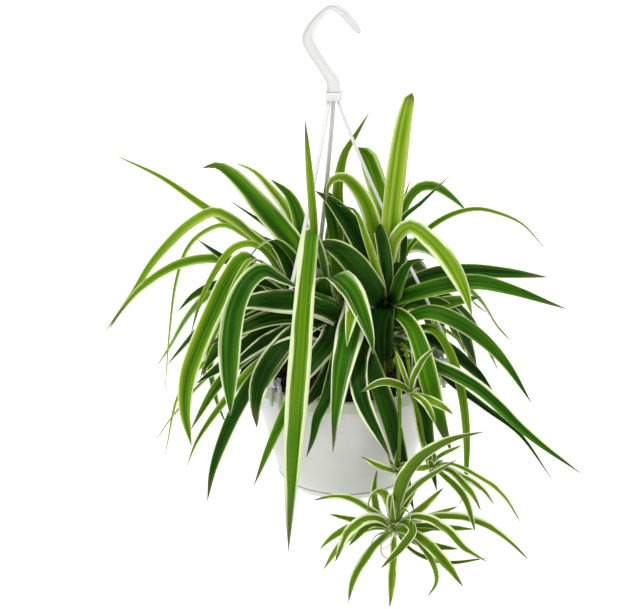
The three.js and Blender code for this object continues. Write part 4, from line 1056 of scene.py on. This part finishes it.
HEADS = {
    "front": {
        "middle": (37, -125, -80), "bud": 4.6,
        "leaves": [
            (6, (30, -118, -84), (18, -110, -90), (3, -102, -96), (-9, -101, -101), (-24, -104, -106)),
            (5.5, (24, -122, -76), (9, -119, -72), (-12, -114, -68)),
            (6.5, (23, -121, -82), (2, -125, -86), (-10, -132, -88), (-19, -141, -89)),
            (8.5, (24, -117, -90), (13, -119, -98), (2, -129, -104), (-7, -150, -107)),
            (6, (20, -124, -86), (0, -134, -90), (-16, -156, -92)),
            (7, (26, -121, -88), (18, -122, -92), (3, -138, -96)),
            (7, (29, -131, -86), (19, -142, -91), (7, -162, -94), (3, -180, -94)),
            (6.5, (37, -132, -84), (36, -156, -89), (34, -184, -90)),
            (7, (46, -120, -90), (51, -126, -98), (43, -138, -106), (27, -155, -110)),
            (8.5, (53, -129, -88), (72, -146, -98), (89, -168, -103)),
            (5, (54, -134, -84), (66, -150, -89), (69, -164, -91), (62, -176, -92)),
            (6, (53, -134, -80), (70, -138, -82), (86, -140, -83)),
            (7, (50, -116, -88), (63, -117, -95), (78, -126, -102), (90, -139, -107),
             (108, -150, -110)),
            (6, (50, -119, -78), (72, -115, -80), (90, -116, -81), (109, -123, -82), (125, -135, -82),
             (138, -148, -82)),
            (5, (48, -126, -76), (58, -126, -74), (69, -125, -72)),
            (6, (52, -123, -72), (78, -124, -66), (98, -125, -63)),
            (6, (46, -118, -76), (58, -109, -72), (74, -94, -68)),
            (5, (52, -119, -74), (65, -115, -70), (85, -108, -66)),
            (11, (39, -106, -94), (46, -84, -105), (60, -69, -110), (80, -58, -112), (104, -52, -112)),
            (6.5, (41, -108, -88), (53, -93, -97), (72, -80, -101), (84, -73, -102)),
            (7, (42, -112, -80), (50, -98, -78), (58, -87, -77)),
            (8.5, (35, -112, -86), (36, -101, -92), (37, -106, -99), (38, -118, -102)),
            (7, (34, -108, -84), (27, -97, -88), (20, -100, -94), (17, -112, -97)),
            (6, (26, -115, -78), (22, -99, -75), (24, -81, -72)),
            (5.5, (42, -110, -88), (48, -113, -92), (48, -124, -95)),
            (3.5, (48, -139, -76), (60, -146, -73), (78, -150, -71), (109, -146, -68)),
        ],
    },
    "middle": {
        "middle": (40, -82, -80), "bud": 3.2,
        "leaves": [
            (5.5, (35, -81, -84), (26, -78, -88), (12, -71, -91)),
            (4, (39, -75, -82), (39, -66, -82)),
            (4, (44, -77, -82), (48, -78, -84), (49, -83, -85)),
            (3.5, (36, -78, -80), (32, -70, -78)),
        ],
    },
    "side": {
        "middle": (66, -78, -86), "bud": 3.4,
        "leaves": [
            (4, (78, -76, -90), (103, -87, -94), (119, -100, -96), (132, -120, -97)),
            (6, (72, -83, -92), (89, -100, -98), (98, -127, -100)),
            (5.5, (78, -81, -86), (95, -98, -89), (102, -111, -90)),
            (5, (78, -80, -80), (84, -83, -78), (103, -95, -76), (112, -107, -75)),
            (5, (60, -79, -90), (51, -81, -93)),
            (3.5, (70, -71, -84), (88, -62, -82)),
            (4, (67, -71, -84), (63, -64, -82)),
        ],
    },
    "tuft": {
        "middle": (50, -24, -84), "bud": 3.2,
        "leaves": [
            (5.5, (50, -16, -88), (57, 0, -91), (68, 12, -92)),
            (6, (42, -18, -90), (28, -15, -95), (11, -23, -98)),
            (6.5, (57, -26, -88), (71, -32, -91), (81, -39, -92)),
            (5.5, (54, -26, -90), (61, -32, -94), (68, -47, -95)),
            (4, (46, -14, -84), (41, 0, -82), (37, 10, -80)),
            (4, (51, -15, -84), (53, -4, -82)),
        ],
    },
}

# The looks of a head's leaves in turn, each with young_ before it
YOUNG_LOOKS = """
    white green mid white lime mid mid lime green green mid dark white
    white lime green mid lime green white dark mid lime green lime dark
""".split()

# Curling roots under the largest head: (radius, then points of the view)
AIR_ROOTS = [
    (0.9, (36, -126, -81), (34, -130, -82), (28, -136, -82), (28, -144, -82), (33, -147, -84),
     (36, -142, -86)),
    (0.8, (35, -126, -82), (24, -130, -84), (20, -136, -84), (22, -144, -86)),
    (0.8, (37, -127, -83), (33, -138, -88), (27, -140, -90)),
]

# Each runner starts against the neck of the right crown and carries its heads in turn.
RUNNERS = {
    "front": {
        "heads": ["middle", "front"], "turn": -112, "height": 14, "reach": 7.5,
        "stem": [(38, 8, -46), (40, -12, -72), (41, -42, -83), (40, -82, -80), (38, -106, -80),
                 (37, -125, -80)],
    },
    "side": {
        "heads": ["tuft", "side"], "turn": -52, "height": 4, "reach": 8.15,
        "stem": [(44, 12, -48), (48, -6, -74), (50, -24, -84), (56, -42, -88), (59, -60, -88),
                 (66, -78, -86)],
    },
}


def round_section(radius, sides):
    return [(radius * math.cos(math.tau * k / sides), radius * math.sin(math.tau * k / sides))
            for k in range(sides)]


def add_tube(bm, points, radius, steps, sides, taper=0.0):
    """A round stem that may thin towards its end, with a slight swelling here and there."""
    def section(share):
        swell = 1 + 0.10 * math.sin(share * 23) ** 8
        return round_section(radius * swell * (1 - taper * share), sides)

    add_swept(bm, route_of(points, steps, Vector((0.9, 0.1, 0.4))), section)


def paint(bm, look, seed):
    """Gives a mesh made without blades the values that the leaf finish reads."""
    tone, margin, cream = LOOKS[look]
    values = {"tone": tone, "margin": margin, "cream": cream, "skew": 0, "dry": 0, "seed": seed}
    layers = value_layers(bm, values)
    for vert in bm.verts:
        for name, value in values.items():
            vert[layers[name]] = value


def make_stem(name, runner):
    crown = CROWNS["right"]
    turn = math.radians(runner["turn"])
    start = RIM + Vector((crown["x"] + runner["reach"] * math.cos(turn),
                          crown["y"] + runner["reach"] * math.sin(turn), runner["height"]))
    points = [start, *(view_place(p) for p in runner["stem"])]
    bm = bmesh.new()
    bm.loops.layers.uv.new("UVMap")
    add_tube(bm, points, RUNNER_RADIUS, steps=90, sides=10)
    bmesh.ops.recalc_face_normals(bm, faces=bm.faces)
    paint(bm, "runner", 0.4)
    # A small pointed sheath at each joint of the stem
    places, along = spline(points, STEM_JOINTS)
    for i in range(1, STEM_JOINTS):
        out = along[i].cross(Vector((math.cos(2.1 * i), math.sin(2.1 * i), 0.3))).normalized()
        line = [places[i], places[i] + along[i] * 4 + out * 1.2, places[i] + along[i] * 9 + out * 2.6]
        add_blade(bm, line, "even", 4.2, 0, "sheath", STEM_SEED + i, wrap=0.8, columns=6, step=1)
    finish_piece("stem_" + name, bm, YOUNG_LEAF, ["runner_" + name])


def make_head(name, head, node, order):
    centre = view_place(head["middle"])
    bm = bmesh.new()
    bm.loops.layers.uv.new("UVMap")
    for i, (width, *route) in enumerate(head["leaves"]):
        points = [centre, *(view_place(p) for p in route)]
        look = "young_" + YOUNG_LOOKS[i % len(YOUNG_LOOKS)]
        add_blade(bm, points, "even", width, YOUNG_TURN, look, YOUNG_SEED + 100 * order + i,
                  wrap=0.7, columns=6, step=3)
    # Short inner leaves and the sheaths that close the bud
    rng = random.Random(BUD_TURN_SEED + order)
    for i in range(BUD_LEAVES):
        turn = math.tau * i / BUD_LEAVES + rng.uniform(-0.3, 0.3)
        out = Vector((math.cos(turn), 0.75 * math.sin(turn), rng.uniform(-0.3, 0.9))).normalized()
        long = head["bud"] * rng.uniform(1.8, 2.8)
        line = [centre, centre + out * long * 0.5, centre + out * long * 0.85 + UP * 1.2,
                centre + out * long + UP * 1.0]
        add_blade(bm, line, "even", head["bud"] * 1.3, 30, "young_mid", BUD_SEED + 20 * order + i,
                  wrap=1.0, columns=6, step=1)
    finish_piece("young_plant_" + name, bm, YOUNG_LEAF, [node],
                 thickness=YOUNG_THICKNESS)


def make_air_roots():
    bm = bmesh.new()
    for radius, *route in AIR_ROOTS:
        add_tube(bm, [view_place(p) for p in route], radius, steps=40, sides=8, taper=0.6)
    centre = view_place(HEADS["front"]["middle"])
    for i in range(SHORT_ROOTS):
        turn = math.tau * i / SHORT_ROOTS
        out = Vector((math.cos(turn), math.sin(turn), -0.9)).normalized()
        line = [centre + out * 2, centre + out * 4.5, centre + out * 6.5 - UP * 0.6]
        add_tube(bm, line, radius=0.75, steps=8, sides=7, taper=0.5)
    finish_piece("air_roots", bm, ROOT, ["runner_front"], closed=True)


# Floor, light and camera

# In metres
FLOOR_REACH = 12
FLOOR_DROP = 1.5
PLANT_MIDDLE = Vector((0, 0, -0.25))


def make_floor():
    bm = bmesh.new()
    bmesh.ops.create_grid(bm, x_segments=1, y_segments=1, size=FLOOR_REACH)
    mesh = bpy.data.meshes.new("floor")
    bmesh.ops.translate(bm, verts=bm.verts, vec=(0, 0, -FLOOR_DROP))
    bm.to_mesh(mesh)
    bm.free()
    finish = Finish("floor")
    finish.give({"Base Color": (0.92, 0.92, 0.92, 1), "Roughness": 0.9})
    mesh.materials.append(finish.material)
    floor = bpy.data.objects.new("floor", mesh)
    bpy.context.scene.collection.objects.link(floor)


def make_light(name, place, spread, power):
    """A far light of the given spread, which shines from its place to the middle of the plant."""
    lamp = bpy.data.lights.new(name, "SUN")
    lamp.angle = spread
    lamp.energy = power
    made = bpy.data.objects.new(name, lamp)
    made.location = place
    made.rotation_euler = (PLANT_MIDDLE - Vector(place)).to_track_quat("-Z", "Y").to_euler()
    bpy.context.scene.collection.objects.link(made)


def make_camera():
    lens = bpy.data.cameras.new("camera")
    lens.sensor_width = 36
    lens.lens = lens.sensor_width * VIEW_DISTANCE / VIEW_WIDTH
    lens.clip_start = 0.05
    made = bpy.data.objects.new("camera", lens)
    across, up = VIEW_CENTRE
    rise = Vector((0, math.sin(VIEW_RISE), math.cos(VIEW_RISE)))
    eye = RIM + Vector((0, -math.cos(VIEW_RISE), math.sin(VIEW_RISE))) * VIEW_DISTANCE
    aim = RIM + Vector((across, 0, 0)) + rise * up
    made.location = eye * MM
    made.rotation_euler = (aim - eye).to_track_quat("-Z", "Y").to_euler()
    bpy.context.scene.collection.objects.link(made)
    bpy.context.scene.camera = made


def make_studio():
    make_floor()
    make_light("key", place=(-0.9, -1.2, 2.0), spread=0.30, power=2.1)
    world = bpy.data.worlds.new("studio")
    world.use_nodes = True
    air = world.node_tree.nodes["Background"]
    air.inputs["Color"].default_value = (1, 1, 1, 1)
    air.inputs["Strength"].default_value = 0.95
    bpy.context.scene.world = world
    bpy.context.scene.view_settings.view_transform = "Standard"


make_camera()
make_studio()
make_pot()
make_saucer()
make_soil()
make_crumbs("soil_crumbs", 620, sizes=(0.7, 2.0), flatness=0.7, material=SOIL, seed=11)
make_crumbs("soil_perlite", 70, sizes=(0.7, 1.5), flatness=0.85, material=PERLITE, seed=12)
make_hook()
make_block()
for side in EAR_ANGLES:
    make_strand(side)
for order, name in enumerate(CROWNS):
    make_crown(name, order + 1)
for name, runner in RUNNERS.items():
    make_stem(name, runner)
    for head in runner["heads"]:
        make_head(head, HEADS[head], "runner_" + name, list(HEADS).index(head))
make_air_roots()
